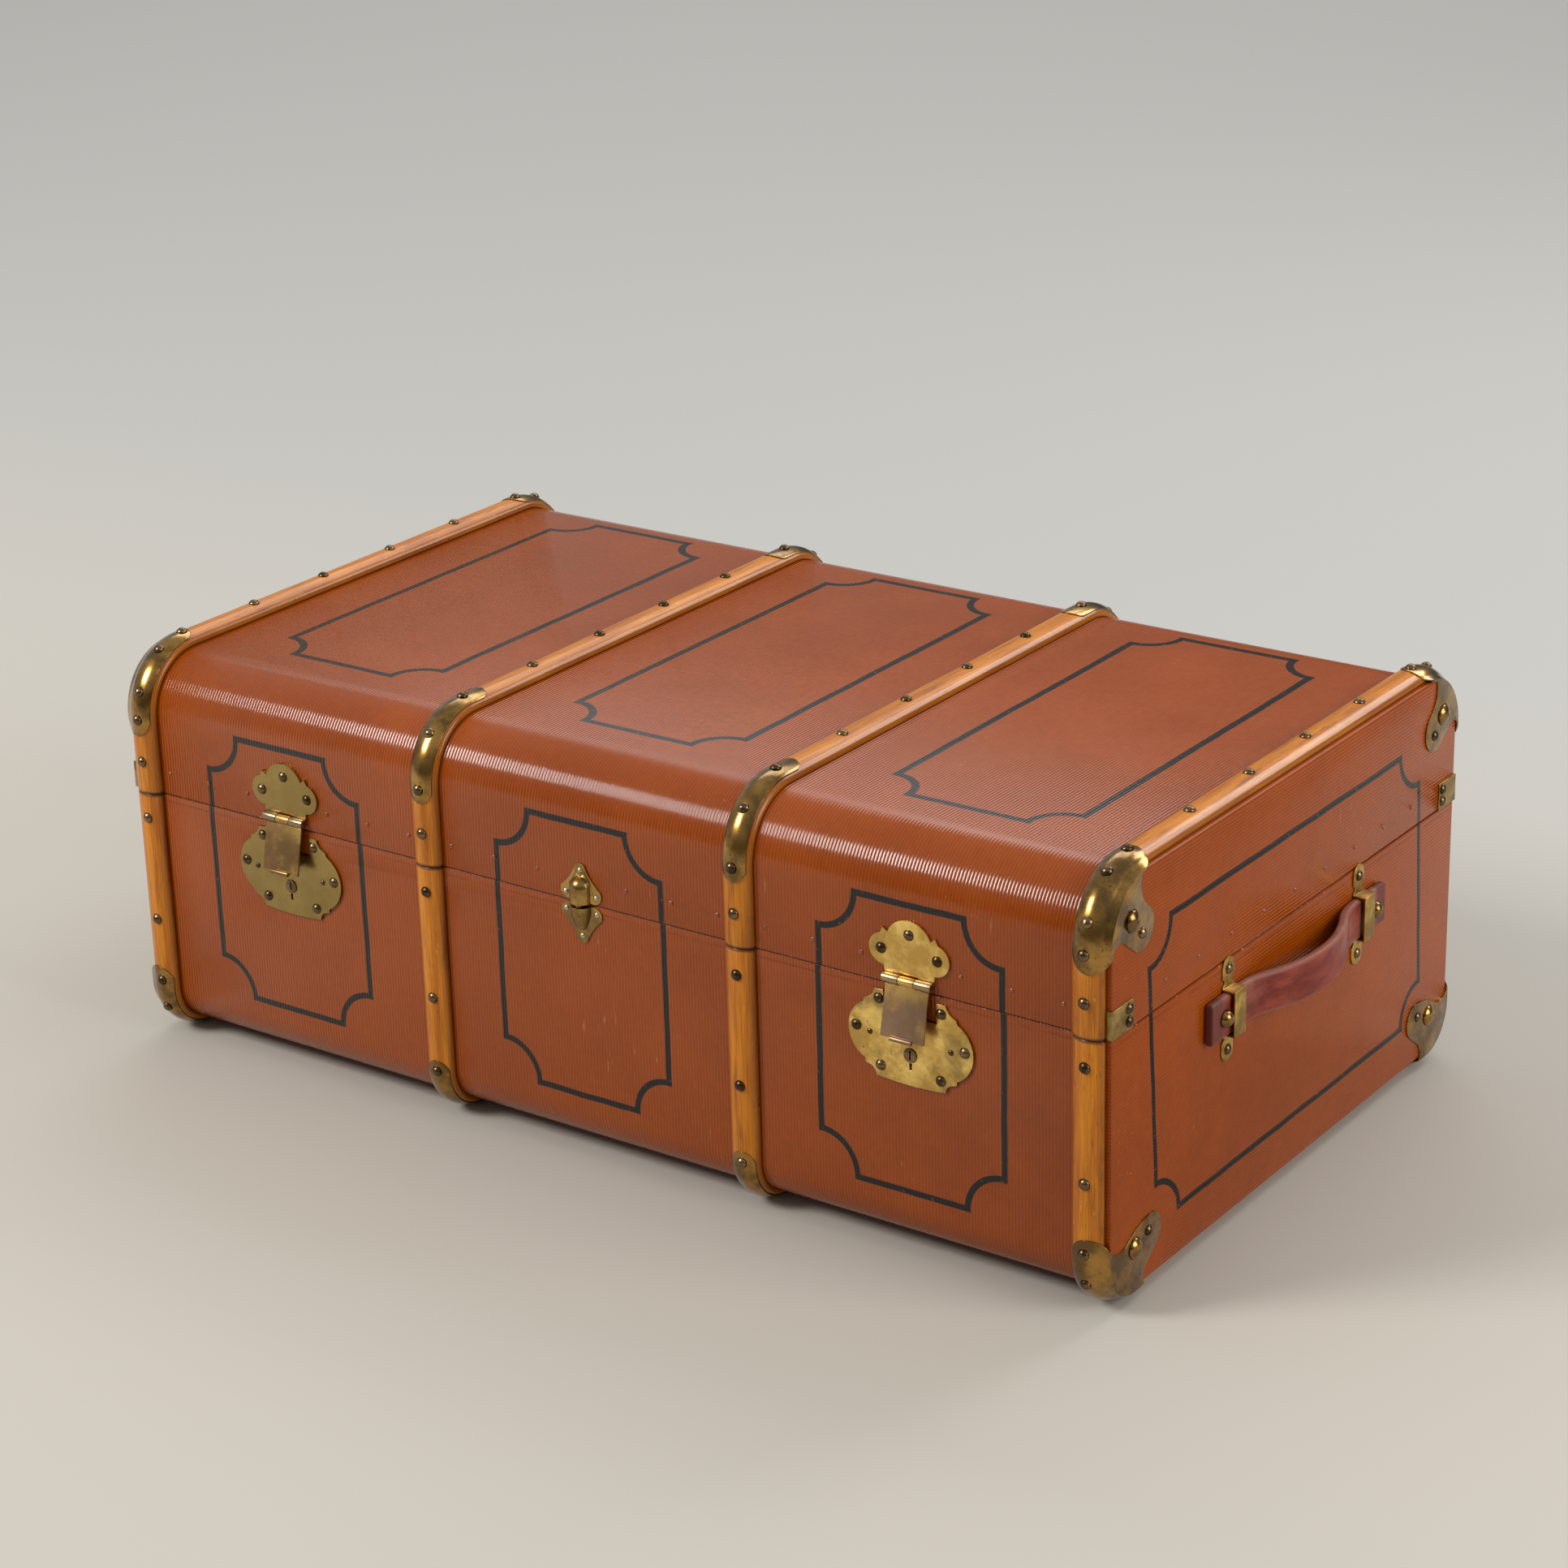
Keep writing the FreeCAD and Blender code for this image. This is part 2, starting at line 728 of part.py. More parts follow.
# Points from the bottom up to the notch behind the hasp, in shares of the plate's half width and half height
LOCK_PLATE_SHARES = [(0.56, -0.935), (0.665, -0.745), (0.735, -0.715), (0.74, -0.635), (0.75, 0.59),
                     (0.735, 0.675), (0.68, 0.715), (0.57, 0.92), (0.425, 0.935), (0.425, 0.50)]
LOCK_PLATE_ARC_SHARES = {0: (0.13, BULGE_LEFT), 3: (0.475, BULGE_RIGHT), 6: (0.2, BULGE_LEFT)}
LOCK_PLATE_BOTTOM_SAG_SHARE = 0.05
# Points from the barrel up to the top lobe, in shares of the plate's half width and height
LID_PLATE_SHARES = [(0.64, 0.18), (1.0, 0.45), (0.72, 0.70), (0.655, 0.80), (0.535, 0.735)]
LID_PLATE_FOOT_SHARE = 0.58
LID_PLATE_LOBE_SHARES = {3: 0.36, 4: 0.36, 7: 0.573}

knuckle_length = size.barrel_length / 3
staple_level = barrel_level - size.staple_drop
staple_rise = staple_level - lock_level
crank_arm = size.bolt_throw * EIGHTH_TURN_SHARE
crank_reach = size.bolt_throw / 2
bolt_back = size.bolt_gap + size.bolt_sheet


def make_lock_plate(name, end):
    body = new_body("lock_plate_" + name, bay * end, -half_depth, lock_level)
    sketch = new_sketch(body, "XZ_Plane")
    wide, tall = size.lock_plate_width / 2, size.lock_plate_height / 2
    points = mirrored([(wide * across, tall * rise) for across, rise in LOCK_PLATE_SHARES])
    last = len(points) - 1
    arcs = {last: (crown_radius(points[0][0] * 2, tall * LOCK_PLATE_BOTTOM_SAG_SHARE), BULGE_RIGHT)}
    for number, (share, bulge) in LOCK_PLATE_ARC_SHARES.items():
        arcs[number] = (wide * share, bulge)
        arcs[last - 1 - number] = (wide * share, bulge)
    outline(sketch, points, arcs)
    slot_side = (size.staple_width + size.staple_slot_room) / 2
    slot_tall = size.staple_height / 2 + size.staple_slot_room
    rectangle(sketch, -slot_side, slot_side, staple_rise - slot_tall, staple_rise + slot_tall)
    ring(sketch, size.plug_radius + size.running_gap, 0, -size.plug_drop)
    bit_top = -size.plug_drop - size.plug_radius - size.plug_proud
    rectangle(sketch, -size.bit_slot_width / 2, size.bit_slot_width / 2,
              bit_top - size.bit_slot_height, bit_top)
    pad(body, sketch, size.lock_plate_sheet)


def make_lock_case(name, end):
    body = new_body("lock_case_" + name, bay * end, -half_depth, lock_level)
    wide, tall = size.case_width / 2, size.case_height / 2
    sketch = new_sketch(body, "XZ_Plane")
    rectangle(sketch, -wide, wide, -tall - size.case_drop, tall - size.case_drop)
    pad(body, sketch, size.case_depth, backwards=True)
    hollow = new_sketch(body, "XZ_Plane")
    wide, tall = wide - size.case_sheet, tall - size.case_sheet
    rectangle(hollow, -wide, wide, -tall - size.case_drop, tall - size.case_drop)
    pocket(body, hollow, size.case_depth - size.case_sheet)


def cut_lock_pockets():
    """The recesses in the base's front that hold the lock cases."""
    sketch = new_sketch(base_wrap, "XZ_Plane", half_depth)
    wide = size.case_width / 2 + size.pocket_room
    tall = size.case_height / 2 + size.pocket_room
    for end in ENDS.values():
        middle = bay * end
        level = lock_level - size.case_drop
        rectangle(sketch, middle - wide, middle + wide, level - tall, level + tall)
    pocket(base_wrap, sketch, size.case_depth + size.pocket_room)


def make_lock_bolt(name, end):
    """A bar that passes through the staple's eye, with a fork below that the crank pin drives."""
    body = new_body("lock_bolt_" + name, bay * end, -half_depth, lock_level)
    tip = size.staple_width / 2 + size.bolt_clear
    tail = tip + size.bolt_length
    high, low = staple_rise + size.bolt_height / 2, staple_rise - size.bolt_height / 2
    yoke_top = staple_rise - size.staple_height / 2 - size.bolt_clear * 2
    yoke_low = yoke_top - size.bolt_yoke
    prong_gap = size.crank_pin_radius + size.fork_room
    near, far = crank_reach - prong_gap, crank_reach + prong_gap
    prong_end = size.fork_lift - size.plug_drop
    points = [(near - size.fork_prong, prong_end), (near, prong_end), (near, yoke_low), (far, yoke_low),
              (far, prong_end), (far + size.fork_prong, prong_end), (far + size.fork_prong, yoke_low),
              (tail, yoke_low), (tail, high), (tip, high), (tip, low),
              (tail - size.bolt_body, low), (tail - size.bolt_body, yoke_top),
              (near - size.fork_prong, yoke_top)]
    sketch = new_sketch(body, "XZ_Plane", -bolt_back)
    outline(sketch, points)
    pad(body, sketch, size.bolt_sheet)


def make_key_plug(name, end):
    """The drill-pin disc that the key turns, with a crank behind the bolt."""
    body = new_body("key_plug_" + name, bay * end, -half_depth, lock_level - size.plug_drop)
    face = new_sketch(body, "XZ_Plane")
    ring(face, size.plug_radius)
    pad(body, face, size.lock_plate_sheet + size.plug_proud)
    crank_front = bolt_back + size.crank_gap
    crank_back = crank_front + size.crank_sheet
    shaft = new_sketch(body, "XZ_Plane", -crank_back)
    ring(shaft, size.plug_shaft_radius)
    pad(body, shaft, crank_back)
    crank = new_sketch(body, "XZ_Plane", -crank_back)
    ring(crank, crank_arm + size.crank_pin_radius + size.crank_rim)
    pad(body, crank, size.crank_sheet)
    pin = new_sketch(body, "XZ_Plane", -crank_front)
    ring(pin, size.crank_pin_radius, crank_reach, crank_reach)
    pad(body, pin, size.bolt_sheet + size.crank_gap)
    keyway = new_sketch(body, "XZ_Plane", size.lock_plate_sheet + size.plug_proud)
    rectangle(keyway, -size.keyway_width / 2, size.keyway_width / 2,
              -size.keyway_height / 2, size.keyway_height / 2)
    pocket(body, keyway, size.lock_plate_sheet)


def make_lid_plate(name, end):
    """The three-lobed plate on the lid, with the two outer knuckles of the hasp's barrel."""
    body = new_body("hasp_lid_plate_" + name, bay * end, -half_depth, barrel_level)
    wide, tall = size.lid_plate_width / 2, size.lid_plate_height
    side, notch = size.barrel_length / 2, knuckle_length / 2 + size.knuckle_gap
    notch_top = size.barrel_radius + size.hasp_neck_gap
    foot = -size.lid_plate_lap
    chain = [(notch, foot), (wide * LID_PLATE_FOOT_SHARE, foot)]
    chain += [(wide * across, tall * rise) for across, rise in LID_PLATE_SHARES]
    points = [(notch, notch_top)] + chain + [(0, tall)]
    points += [(-u, v) for u, v in reversed(chain)] + [(-notch, notch_top)]
    last = len(points) - 2
    arcs = {}
    for number, share in LID_PLATE_LOBE_SHARES.items():
        arcs[number] = (wide * share, BULGE_RIGHT)
        arcs[last - number] = (wide * share, BULGE_RIGHT)
    sketch = new_sketch(body, "XZ_Plane")
    outline(sketch, points, arcs)
    pad(body, sketch, size.lid_plate_sheet)
    for start in (-side, notch):
        knuckle = new_sketch(body, "YZ_Plane", start)
        ring(knuckle, size.barrel_radius, -size.barrel_offset)
        pad(body, knuckle, side - notch)
    bore = new_sketch(body, "YZ_Plane")
    ring(bore, size.hasp_pin_radius + size.running_gap, -size.barrel_offset)
    pocket(body, bore, size.barrel_length + size.overrun, symmetric=True)


def make_hasp(name, end):
    """The swinging hasp, drawn closed about its pin and then turned out to where it rests."""
    body = new_body("hasp_" + name, bay * end, -half_depth - size.barrel_offset, barrel_level)
    body.Placement = FreeCAD.Placement(FreeCAD.Vector(), FreeCAD.Rotation(-X_AXIS, 0))
    body.setExpression("Placement.Rotation.Angle", size.hasp_rest_degrees.text)
    barrel = new_sketch(body, "YZ_Plane")
    ring(barrel, size.barrel_radius)
    pad(body, barrel, knuckle_length - size.knuckle_gap * 2, symmetric=True)
    back = size.barrel_offset - size.lock_plate_sheet - size.hasp_seat
    side, neck = size.hasp_width / 2, knuckle_length / 2 - size.knuckle_gap
    top = -size.barrel_radius - size.hasp_neck_gap
    plate = new_sketch(body, "XZ_Plane", -back)
    outline(plate, [(-side, -size.hasp_length), (side, -size.hasp_length), (side, top), (neck, top),
                    (neck, 0), (-neck, 0), (-neck, top), (-side, top)])
    pad(body, plate, size.hasp_sheet)
    roll = new_sketch(body, "YZ_Plane")
    ring(roll, size.lip_roll_radius, back - size.hasp_sheet - size.lip_roll_radius / 2, -size.hasp_length)
    pad(body, roll, size.lip_roll_length, symmetric=True)
    staple = new_sketch(body, "YZ_Plane")
    high, low = -size.staple_drop + size.staple_height / 2, -size.staple_drop - size.staple_height / 2
    rectangle(staple, back, back + size.staple_reach, low, high)
    rectangle(staple, back + size.staple_wall, back + size.staple_reach - size.staple_wall,
              low + size.staple_wall, high - size.staple_wall)
    pad(body, staple, size.staple_width, symmetric=True)
    bore = new_sketch(body, "YZ_Plane")
    ring(bore, size.hasp_pin_radius + size.running_gap)
    pocket(body, bore, knuckle_length, symmetric=True)


def make_hasp_pin(end):
    pin = doc.addObject("Part::Cylinder", "hasp_pin")
    pin.setExpression("Radius", size.hasp_pin_radius.text)
    pin.setExpression("Height", size.barrel_length.text)
    pin.Placement = FreeCAD.Placement(FreeCAD.Vector(), FreeCAD.Rotation(Z_AXIS, X_AXIS))
    place(pin, bay * end - size.barrel_length / 2, -half_depth - size.barrel_offset, barrel_level)
    return pin


for name, end in ENDS.items():
    make_lock_plate(name, end)
    make_lock_case(name, end)
    make_lock_bolt(name, end)
    make_key_plug(name, end)
    make_lid_plate(name, end)
    make_hasp(name, end)
group("hasp_pins", [make_hasp_pin(end) for end in ENDS.values()])
cut_lock_pockets()


# Centre dowel: a domed socket on the lid and a domed tongue with a peg on the base

# Points of a leaf from the seam to its tip, in shares of the leaf's half width and height
LEAF_SHARES = [(0.66, 0.04), (1.0, 0.235), (0.90, 0.39), (0.235, 0.93)]
LEAF_LOBE_SHARES = {0: (0.38, 1), 1: (0.30, 1), 2: (2.4, -1), 3: (0.27, 1)}
EGG_TIP_SHARE = 0.6

dowel_level = seam + size.seam_gap / 2


def dowel_leaf(body, up):
    wide, tall = size.dowel_width / 2, size.dowel_height
    chain = [(wide * across, tall * rise * up) for across, rise in LEAF_SHARES]
    points = chain + [(0, tall * up)] + [(-u, v) for u, v in reversed(chain)]
    last = len(points) - 2
    arcs = {}
    for number, (share, bulge) in LEAF_LOBE_SHARES.items():
        arcs[number] = (wide * share, bulge * up)
        arcs[last - number] = (wide * share, bulge * up)
    sketch = new_sketch(body, "XZ_Plane")
    outline(sketch, points, arcs)
    pad(body, sketch, size.dowel_sheet)


def make_dowel_socket():
    body = new_body("dowel_socket", 0, -half_depth, dowel_level)
    dowel_leaf(body, LID.up)
    radius, tall = size.dowel_dome_radius, size.dowel_dome_height
    dome = new_sketch(body, "XZ_Plane")
    outline(dome, [(0, size.dowel_split), (radius, size.dowel_split), (radius, tall - radius), (0, tall)],
            {2: (radius, BULGE_RIGHT)})
    revolve(body, dome, 180, backwards=True)
    hole = new_sketch(body, "XY_Plane", size.dowel_split)
    ring(hole, size.dowel_peg_radius + size.dowel_peg_room, 0, -size.dowel_peg_offset)
    pocket(body, hole, size.dowel_peg_rise, backwards=True)


def make_dowel_tongue():
    body = new_body("dowel_tongue", 0, -half_depth, dowel_level)
    dowel_leaf(body, BASE.up)
    radius, tall = size.dowel_dome_radius, size.dowel_egg_height
    tip = radius * EGG_TIP_SHARE
    rise = tall - size.dowel_split - tip
    taper = (radius - tip) / rise
    sine = (1 - taper * taper) / (taper * taper + 1)
    cosine = taper * 2 / (taper * taper + 1)
    dome = new_sketch(body, "XZ_Plane")
    outline(dome, [(0, -tall), (tip * sine, tip - tall - tip * cosine),
                   (radius, -size.dowel_split), (0, -size.dowel_split)],
            {0: (tip, BULGE_RIGHT), 1: (rise / cosine + tip, BULGE_RIGHT)})
    revolve(body, dome, 180, backwards=True)
    peg = new_sketch(body, "XY_Plane", -size.dowel_peg_root)
    ring(peg, size.dowel_peg_radius, 0, -size.dowel_peg_offset)
    pad(body, peg, size.dowel_peg_root + size.dowel_peg_rise)


make_dowel_socket()
make_dowel_tongue()


# Handles: a bowed leather strap that runs through two bridge loops on each end board

STRAP_BEND_SHARE = 0.36


def make_loop(name, end, side):
    label = "handle_loop_" + name
    body = new_body(label, half_length * end, size.loop_place * side, handle_level, keep=False)
    sheet_out, room = size.loop_sheet, size.loop_room
    leg, ear = size.loop_leg, size.loop_ear
    upper = [(0, leg), (room, leg)]
    lower = [(room, -leg), (0, -leg), (0, -ear), (sheet_out, -ear), (sheet_out, -leg - sheet_out)]
    outer = [(room + sheet_out, -leg - sheet_out), (room + sheet_out, leg + sheet_out)]
    ear_top = [(sheet_out, leg + sheet_out), (sheet_out, ear), (0, ear)]
    chain = upper + lower + outer + ear_top
    sketch = new_sketch(body, "XZ_Plane")
    outline(sketch, [(out * end, rise) for out, rise in chain])
    strip = pad(body, sketch, size.loop_width, symmetric=True)
    doc.recompute()
    corners = []
    for number, edge in enumerate(strip.Shape.Edges, 1):
        box = edge.BoundBox
        at_ear_end = min(abs(box.ZMin - ear.value), abs(box.ZMax + ear.value)) < Part.Precision.confusion()
        if at_ear_end and box.ZLength + box.YLength < box.XLength:
            corners.append(f"Edge{number}")
    rounding = body.newObject("PartDesign::Fillet", body.Label + "_ears")
    rounding.Base = (strip, corners)
    rounding.setExpression("Radius", size.loop_ear_round.text)
    neck = new_sketch(body, "YZ_Plane")
    for across in (-size.loop_width / 2, size.loop_width / 2):
        for rise in (-size.loop_neck_place, size.loop_neck_place):
            ring(neck, size.loop_neck_radius, across, rise)
    pocket(body, neck, (size.loop_sheet + size.overrun) * 2, symmetric=True)
    return body


def make_strap(name, end):
    """The strap lies flat under each loop and bows outwards between them in three smooth bends."""
    body = new_body("handle_strap_" + name, half_length * end, 0, handle_level)
    thick, reach, bow = size.strap_thickness, size.strap_flat_end, size.strap_bow
    slope = bow / reach
    sine = slope * 2 / (slope * slope + 1)
    cosine = (1 - slope * slope) / (slope * slope + 1)
    total = reach * (slope * slope + 1) / (slope * 2)
    outer_bend, middle_bend = total * STRAP_BEND_SHARE, total * (1 - STRAP_BEND_SHARE)
    join_out = size.strap_gap + thick / 2 + bow * STRAP_BEND_SHARE
    join_along = reach * (1 - STRAP_BEND_SHARE)

    def face(offset, skin):
        return [(skin, -size.strap_half_length), (skin, -reach),
                (join_out + offset * cosine, -join_along - offset * sine),
                (join_out + offset * cosine, join_along + offset * sine),
                (skin, reach), (skin, size.strap_half_length)]

    inner = face(-thick / 2, size.strap_gap)
    outer = list(reversed(face(thick / 2, size.strap_gap + thick)))
    points = [(out * end, along) for out, along in inner + outer]
    inner_ends, inner_middle = (outer_bend + thick / 2, -end), (middle_bend - thick / 2, end)
    outer_ends, outer_middle = (outer_bend - thick / 2, end), (middle_bend + thick / 2, -end)
    arcs = {1: inner_ends, 2: inner_middle, 3: inner_ends, 7: outer_ends, 8: outer_middle, 9: outer_ends}
    sketch = new_sketch(body, "XY_Plane")
    outline(sketch, points, arcs)
    pad(body, sketch, size.strap_width, symmetric=True)


for name, end in ENDS.items():
    group("handle_loops_" + name, [make_loop(name, end, side) for side in FACES.values()])
    make_strap(name, end)


# Back hinges: cranked leaves that carry the pin clear of the hoops

hinge_level = seam + size.seam_gap / 2


def make_leaf(half, middle):
    body = new_body(half.name + "_hinge_leaf", middle, half_depth, hinge_level, keep=False)
    up = half.up
    lid_side = half is LID
    knuckle = size.hinge_leaf_width if lid_side else size.hinge_knuckle
    arm_low = size.hinge_arm_gap * up
    plate = new_sketch(body, "YZ_Plane")
    rectangle(plate, 0, size.hinge_leaf_sheet, arm_low, size.hinge_leaf_height * up)
    pad(body, plate, size.hinge_leaf_width, symmetric=True)
    arm = new_sketch(body, "YZ_Plane")
    rectangle(arm, 0, size.hinge_setback, arm_low, arm_low + size.hinge_arm * up)
    pad(body, arm, knuckle, symmetric=True)
    barrel = new_sketch(body, "YZ_Plane")
    ring(barrel, size.hinge_barrel_radius, size.hinge_setback)
    pad(body, barrel, knuckle, symmetric=True)
    if lid_side:
        room = size.hinge_barrel_radius + size.overrun
        gap = new_sketch(body, "YZ_Plane")
        rectangle(gap, size.hinge_leaf_sheet, size.hinge_setback + room, -room, room)
        pocket(body, gap, size.hinge_knuckle + size.hinge_knuckle_gap * 2, symmetric=True)
    bore = new_sketch(body, "YZ_Plane")
    ring(bore, size.hinge_pin_radius + size.running_gap, size.hinge_setback)
    pocket(body, bore, size.hinge_leaf_width + size.overrun, symmetric=True)
    return body


def make_hinge_pin(middle):
    pin = doc.addObject("Part::Cylinder", "hinge_pin")
    pin.setExpression("Radius", size.hinge_pin_radius.text)
    pin.setExpression("Height", size.hinge_leaf_width.text)
    pin.Placement = FreeCAD.Placement(FreeCAD.Vector(), FreeCAD.Rotation(Z_AXIS, X_AXIS))
    place(pin, middle - size.hinge_leaf_width / 2, half_depth + size.hinge_setback, hinge_level)
    return pin


hinge_places = [-bay, 0 * bay, bay]
for half in HALVES:
    group(half.name + "_hinge_leaves", [make_leaf(half, middle) for middle in hinge_places])
group("hinge_pins", [make_hinge_pin(middle) for middle in hinge_places])


# Nails, studs and rivets: one of each kind is turned, and the rest are copies of it

def make_headed(label, radius, height, shank_radius, shank_length, flat=0):
    """A domed head on a shank; a head worn flat keeps a flat of the given radius."""
    body = new_body(label, keep=False)
    sketch = new_sketch(body, "XZ_Plane")
    points = [(0, -shank_length), (shank_radius, -shank_length), (shank_radius, 0), (radius, 0)]
    if isinstance(flat, Size):
        points += [(flat, height), (0, height)]
        arcs = {}
    else:
        points.append((0, height))
        arcs = {3: (crown_radius(radius * 2, height), BULGE_RIGHT)}
    outline(sketch, points, arcs)
    revolve(body, sketch, 360)
    return body


hoop_nail = make_headed("hoop_nail", size.nail_head_radius, size.nail_head_height,
                        size.nail_shank_radius, size.nail_shank_length)
glide_nail = make_headed("glide_nail", size.nail_head_radius, size.glide_height,
                         size.nail_shank_radius, size.nail_shank_length, size.glide_flat_radius)
plate_nail = make_headed("plate_nail", size.plate_nail_radius, size.plate_nail_height,
                         size.plate_nail_shank_radius, size.plate_nail_shank_length)
plate_pin = make_headed("plate_pin", size.plate_pin_radius, size.plate_pin_height,
                        size.plate_nail_shank_radius, size.plate_nail_shank_length)
corner_stud = make_headed("corner_stud", size.stud_radius, size.stud_height,
                          size.stud_shank_radius, size.stud_shank_length)
handle_stud = make_headed("handle_stud", size.handle_stud_radius, size.handle_stud_height,
                          size.stud_shank_radius, size.strap_thickness)
edge_rivet = make_headed("edge_rivet", size.rivet_radius, size.rivet_height,
                         size.rivet_shank_radius, size.rivet_shank_length)

CAP_NAIL_DEGREES = {"lid_inner": (0, 45, 90), "lid_end": (0, 23, 62, 90),
                    "base_inner": (0,), "base_end": (24,)}
TOP_NAIL_SHARES = (-0.6, -0.2, 0.2, 0.6)
GLIDE_SHARES = (-1, -0.36, 0.36, 1)
cap_skin = size.cap_gap + size.cap_sheet


def seat_on_bend(half, across, face, degrees, out):
    """A seat on the hoop's bend, turned from level at the front or back towards the crown."""
    angle = math.radians(degrees)
    reach = (half.radius + out).value
    point = (across.value, face * (half.flat.value + reach * math.cos(angle)),
             half.bend.value + half.up * reach * math.sin(angle))
    return point, FreeCAD.Vector(0, face * math.cos(angle), half.up * math.sin(angle))


def seats_down_sides(half, across, levels, lift=0):
    out = half_depth + half.hoop_thickness + lift
    return [((across.value, face * out.value, level.value), Y_AXIS * face)
            for face in FACES.values() for level in levels]


def hoop_nail_seats(half, levels):
    seats = []
    for name in HOOP_PLACE_SHARES:
        across = hoop_place(half, name)
        seats += seats_down_sides(half, across, levels)
        kind = half.name + ("_end" if name.endswith("_end") else "_inner")
        if kind == "base_end":
            seats += seats_down_sides(half, across, [half.bend + size.base_cap_nail_rise], cap_skin)
        for face in FACES.values():
            for degrees in CAP_NAIL_DEGREES[kind]:
                seats.append(seat_on_bend(half, across, face, degrees, half.hoop_thickness + cap_skin))
    return seats


lid_seats = hoop_nail_seats(LID, [lid_edge + size.lid_nail_rise])
for name in HOOP_PLACE_SHARES:
    for share in TOP_NAIL_SHARES:
        where = (hoop_place(LID, name), LID.flat * share, shell_top + size.lid_hoop_thickness)
        lid_seats.append((tuple(length.value for length in where), Z_AXIS))
scatter("lid_nails", (hoop_nail, lid_seats))
base_seats = hoop_nail_seats(BASE, [seam - size.base_nail_high_drop, seam - size.base_nail_low_drop])
scatter("base_nails", (hoop_nail, base_seats))
glide_seats = [((hoop_place(BASE, name).value, (BASE.flat * share).value, size.glide_height.value), -Z_AXIS)
               for name in HOOP_PLACE_SHARES for share in GLIDE_SHARES]
scatter("floor_nails", (glide_nail, glide_seats))

# Nails of the plates, in shares of each plate's half width and half height
LOCK_NAIL_SHARES = [(0.50, 0.735), (0.87, 0.04), (0.485, -0.70)]
LOCK_PIN_SHARES = [(0.65, -0.03)]
LID_PLATE_NAIL_SHARES = [(0.70, 0.445), (0, 0.765)]
LEAF_NAIL_SHARES = [(0.75, 0.21), (0, 0.82)]
CLAMP_NAIL_SHARES = (0.3, 0.75)
CLAMP_NAIL_PLACE_SHARE = 0.8
# Places on the wings, in shares of the corner's radius from the bend's centre
WING_STUD_SHARES = {"lid": (0.47, 0.34), "base": (0.02, 0)}
WING_NAIL_SHARES = {"lid": (0.19, 0.06), "base": (-0.56, -0.18)}


def front_seats(middle, level, sheet_out, places):
    """Seats on a plate of the front, mirrored about the plate's middle."""
    seats = []
    for across, rise in places:
        for side in ((-1, 1) if as_size(across).value else (1,)):
            point = (middle + across * side, -half_depth - sheet_out, level + rise)
            seats.append((tuple(as_size(length).value for length in point), -Y_AXIS))
    return seats


def leaf_nail_seats(up):
    wide, tall = size.dowel_width / 2, size.dowel_height
    return front_seats(0 * bay, dowel_level, size.dowel_sheet,
                       [(wide * across, tall * rise * up) for across, rise in LEAF_NAIL_SHARES])


def wing_seats(half, shares):
    skin = (half_length + size.cap_gap + size.cap_sheet).value
    out, rise = shares[half.name]
    return [((end * skin, face * (half.flat + half.radius * out).value,
              (half.bend + half.up * half.radius * rise).value), X_AXIS * end)
            for end in ENDS.values() for face in FACES.values()]


lid_plate_seats = wing_seats(LID, WING_NAIL_SHARES)
base_plate_seats = wing_seats(BASE, WING_NAIL_SHARES)
base_pin_seats = leaf_nail_seats(BASE.up)
for end in ENDS.values():
    lid_plate_seats += front_seats(
        bay * end, barrel_level, size.lid_plate_sheet,
        [(size.lid_plate_width / 2 * across, size.lid_plate_height * rise)
         for across, rise in LID_PLATE_NAIL_SHARES])
    for seats, shares in ((base_plate_seats, LOCK_NAIL_SHARES), (base_pin_seats, LOCK_PIN_SHARES)):
        seats += front_seats(
            bay * end, lock_level, size.lock_plate_sheet,
            [(size.lock_plate_width / 2 * across, size.lock_plate_height / 2 * rise)
             for across, rise in shares])
    for face in FACES.values():
        clamp_skin = (half_length + size.cap_gap + size.clamp_sheet).value
        along = face * (half_depth - size.clamp_length * CLAMP_NAIL_PLACE_SHARE).value
        for share in CLAMP_NAIL_SHARES:
            level = (lid_edge + size.clamp_height * share).value
            lid_plate_seats.append(((end * clamp_skin, along, level), X_AXIS * end))
        loop_skin = (half_length + size.loop_sheet).value
        for up in (-1, 1):
            level = (handle_level + size.loop_nail_place * up).value
            base_plate_seats.append(((end * loop_skin, face * size.loop_place.value, level), X_AXIS * end))
scatter("lid_plate_nails", (plate_nail, lid_plate_seats), (plate_pin, leaf_nail_seats(LID.up)))
scatter("base_plate_nails", (plate_nail, base_plate_seats), (plate_pin, base_pin_seats))
scatter("lid_corner_studs", (corner_stud, wing_seats(LID, WING_STUD_SHARES)))
scatter("base_corner_studs", (corner_stud, wing_seats(BASE, WING_STUD_SHARES)))

for name, end in ENDS.items():
    stud_skin = (half_length + size.strap_gap + size.strap_thickness).value
    stud_seats = [((end * stud_skin, face * size.handle_stud_place.value, handle_level.value), X_AXIS * end)
                  for face in FACES.values()]
    scatter("handle_studs_" + name, (handle_stud, stud_seats))

# Rivets that hold the lip ring, in a row round the lid just above the seam
RIVET_STEPS = (-3, -2, -1, 1, 2, 3)
END_RIVET_STEPS = range(-4, 5)
rivet_level = (lid_edge + size.rivet_rise).value
rivet_seats = []
for face in FACES.values():
    for middle in hinge_places:
        for step in RIVET_STEPS:
            across = (middle + size.rivet_pitch * step).value
            rivet_seats.append(((across, face * half_depth.value, rivet_level), Y_AXIS * face))
for end in ENDS.values():
    for step in END_RIVET_STEPS:
        along = (size.end_rivet_pitch * step).value
        rivet_seats.append(((end * half_length.value, along, rivet_level), X_AXIS * end))
scatter("lid_edge_rivets", (edge_rivet, rivet_seats))

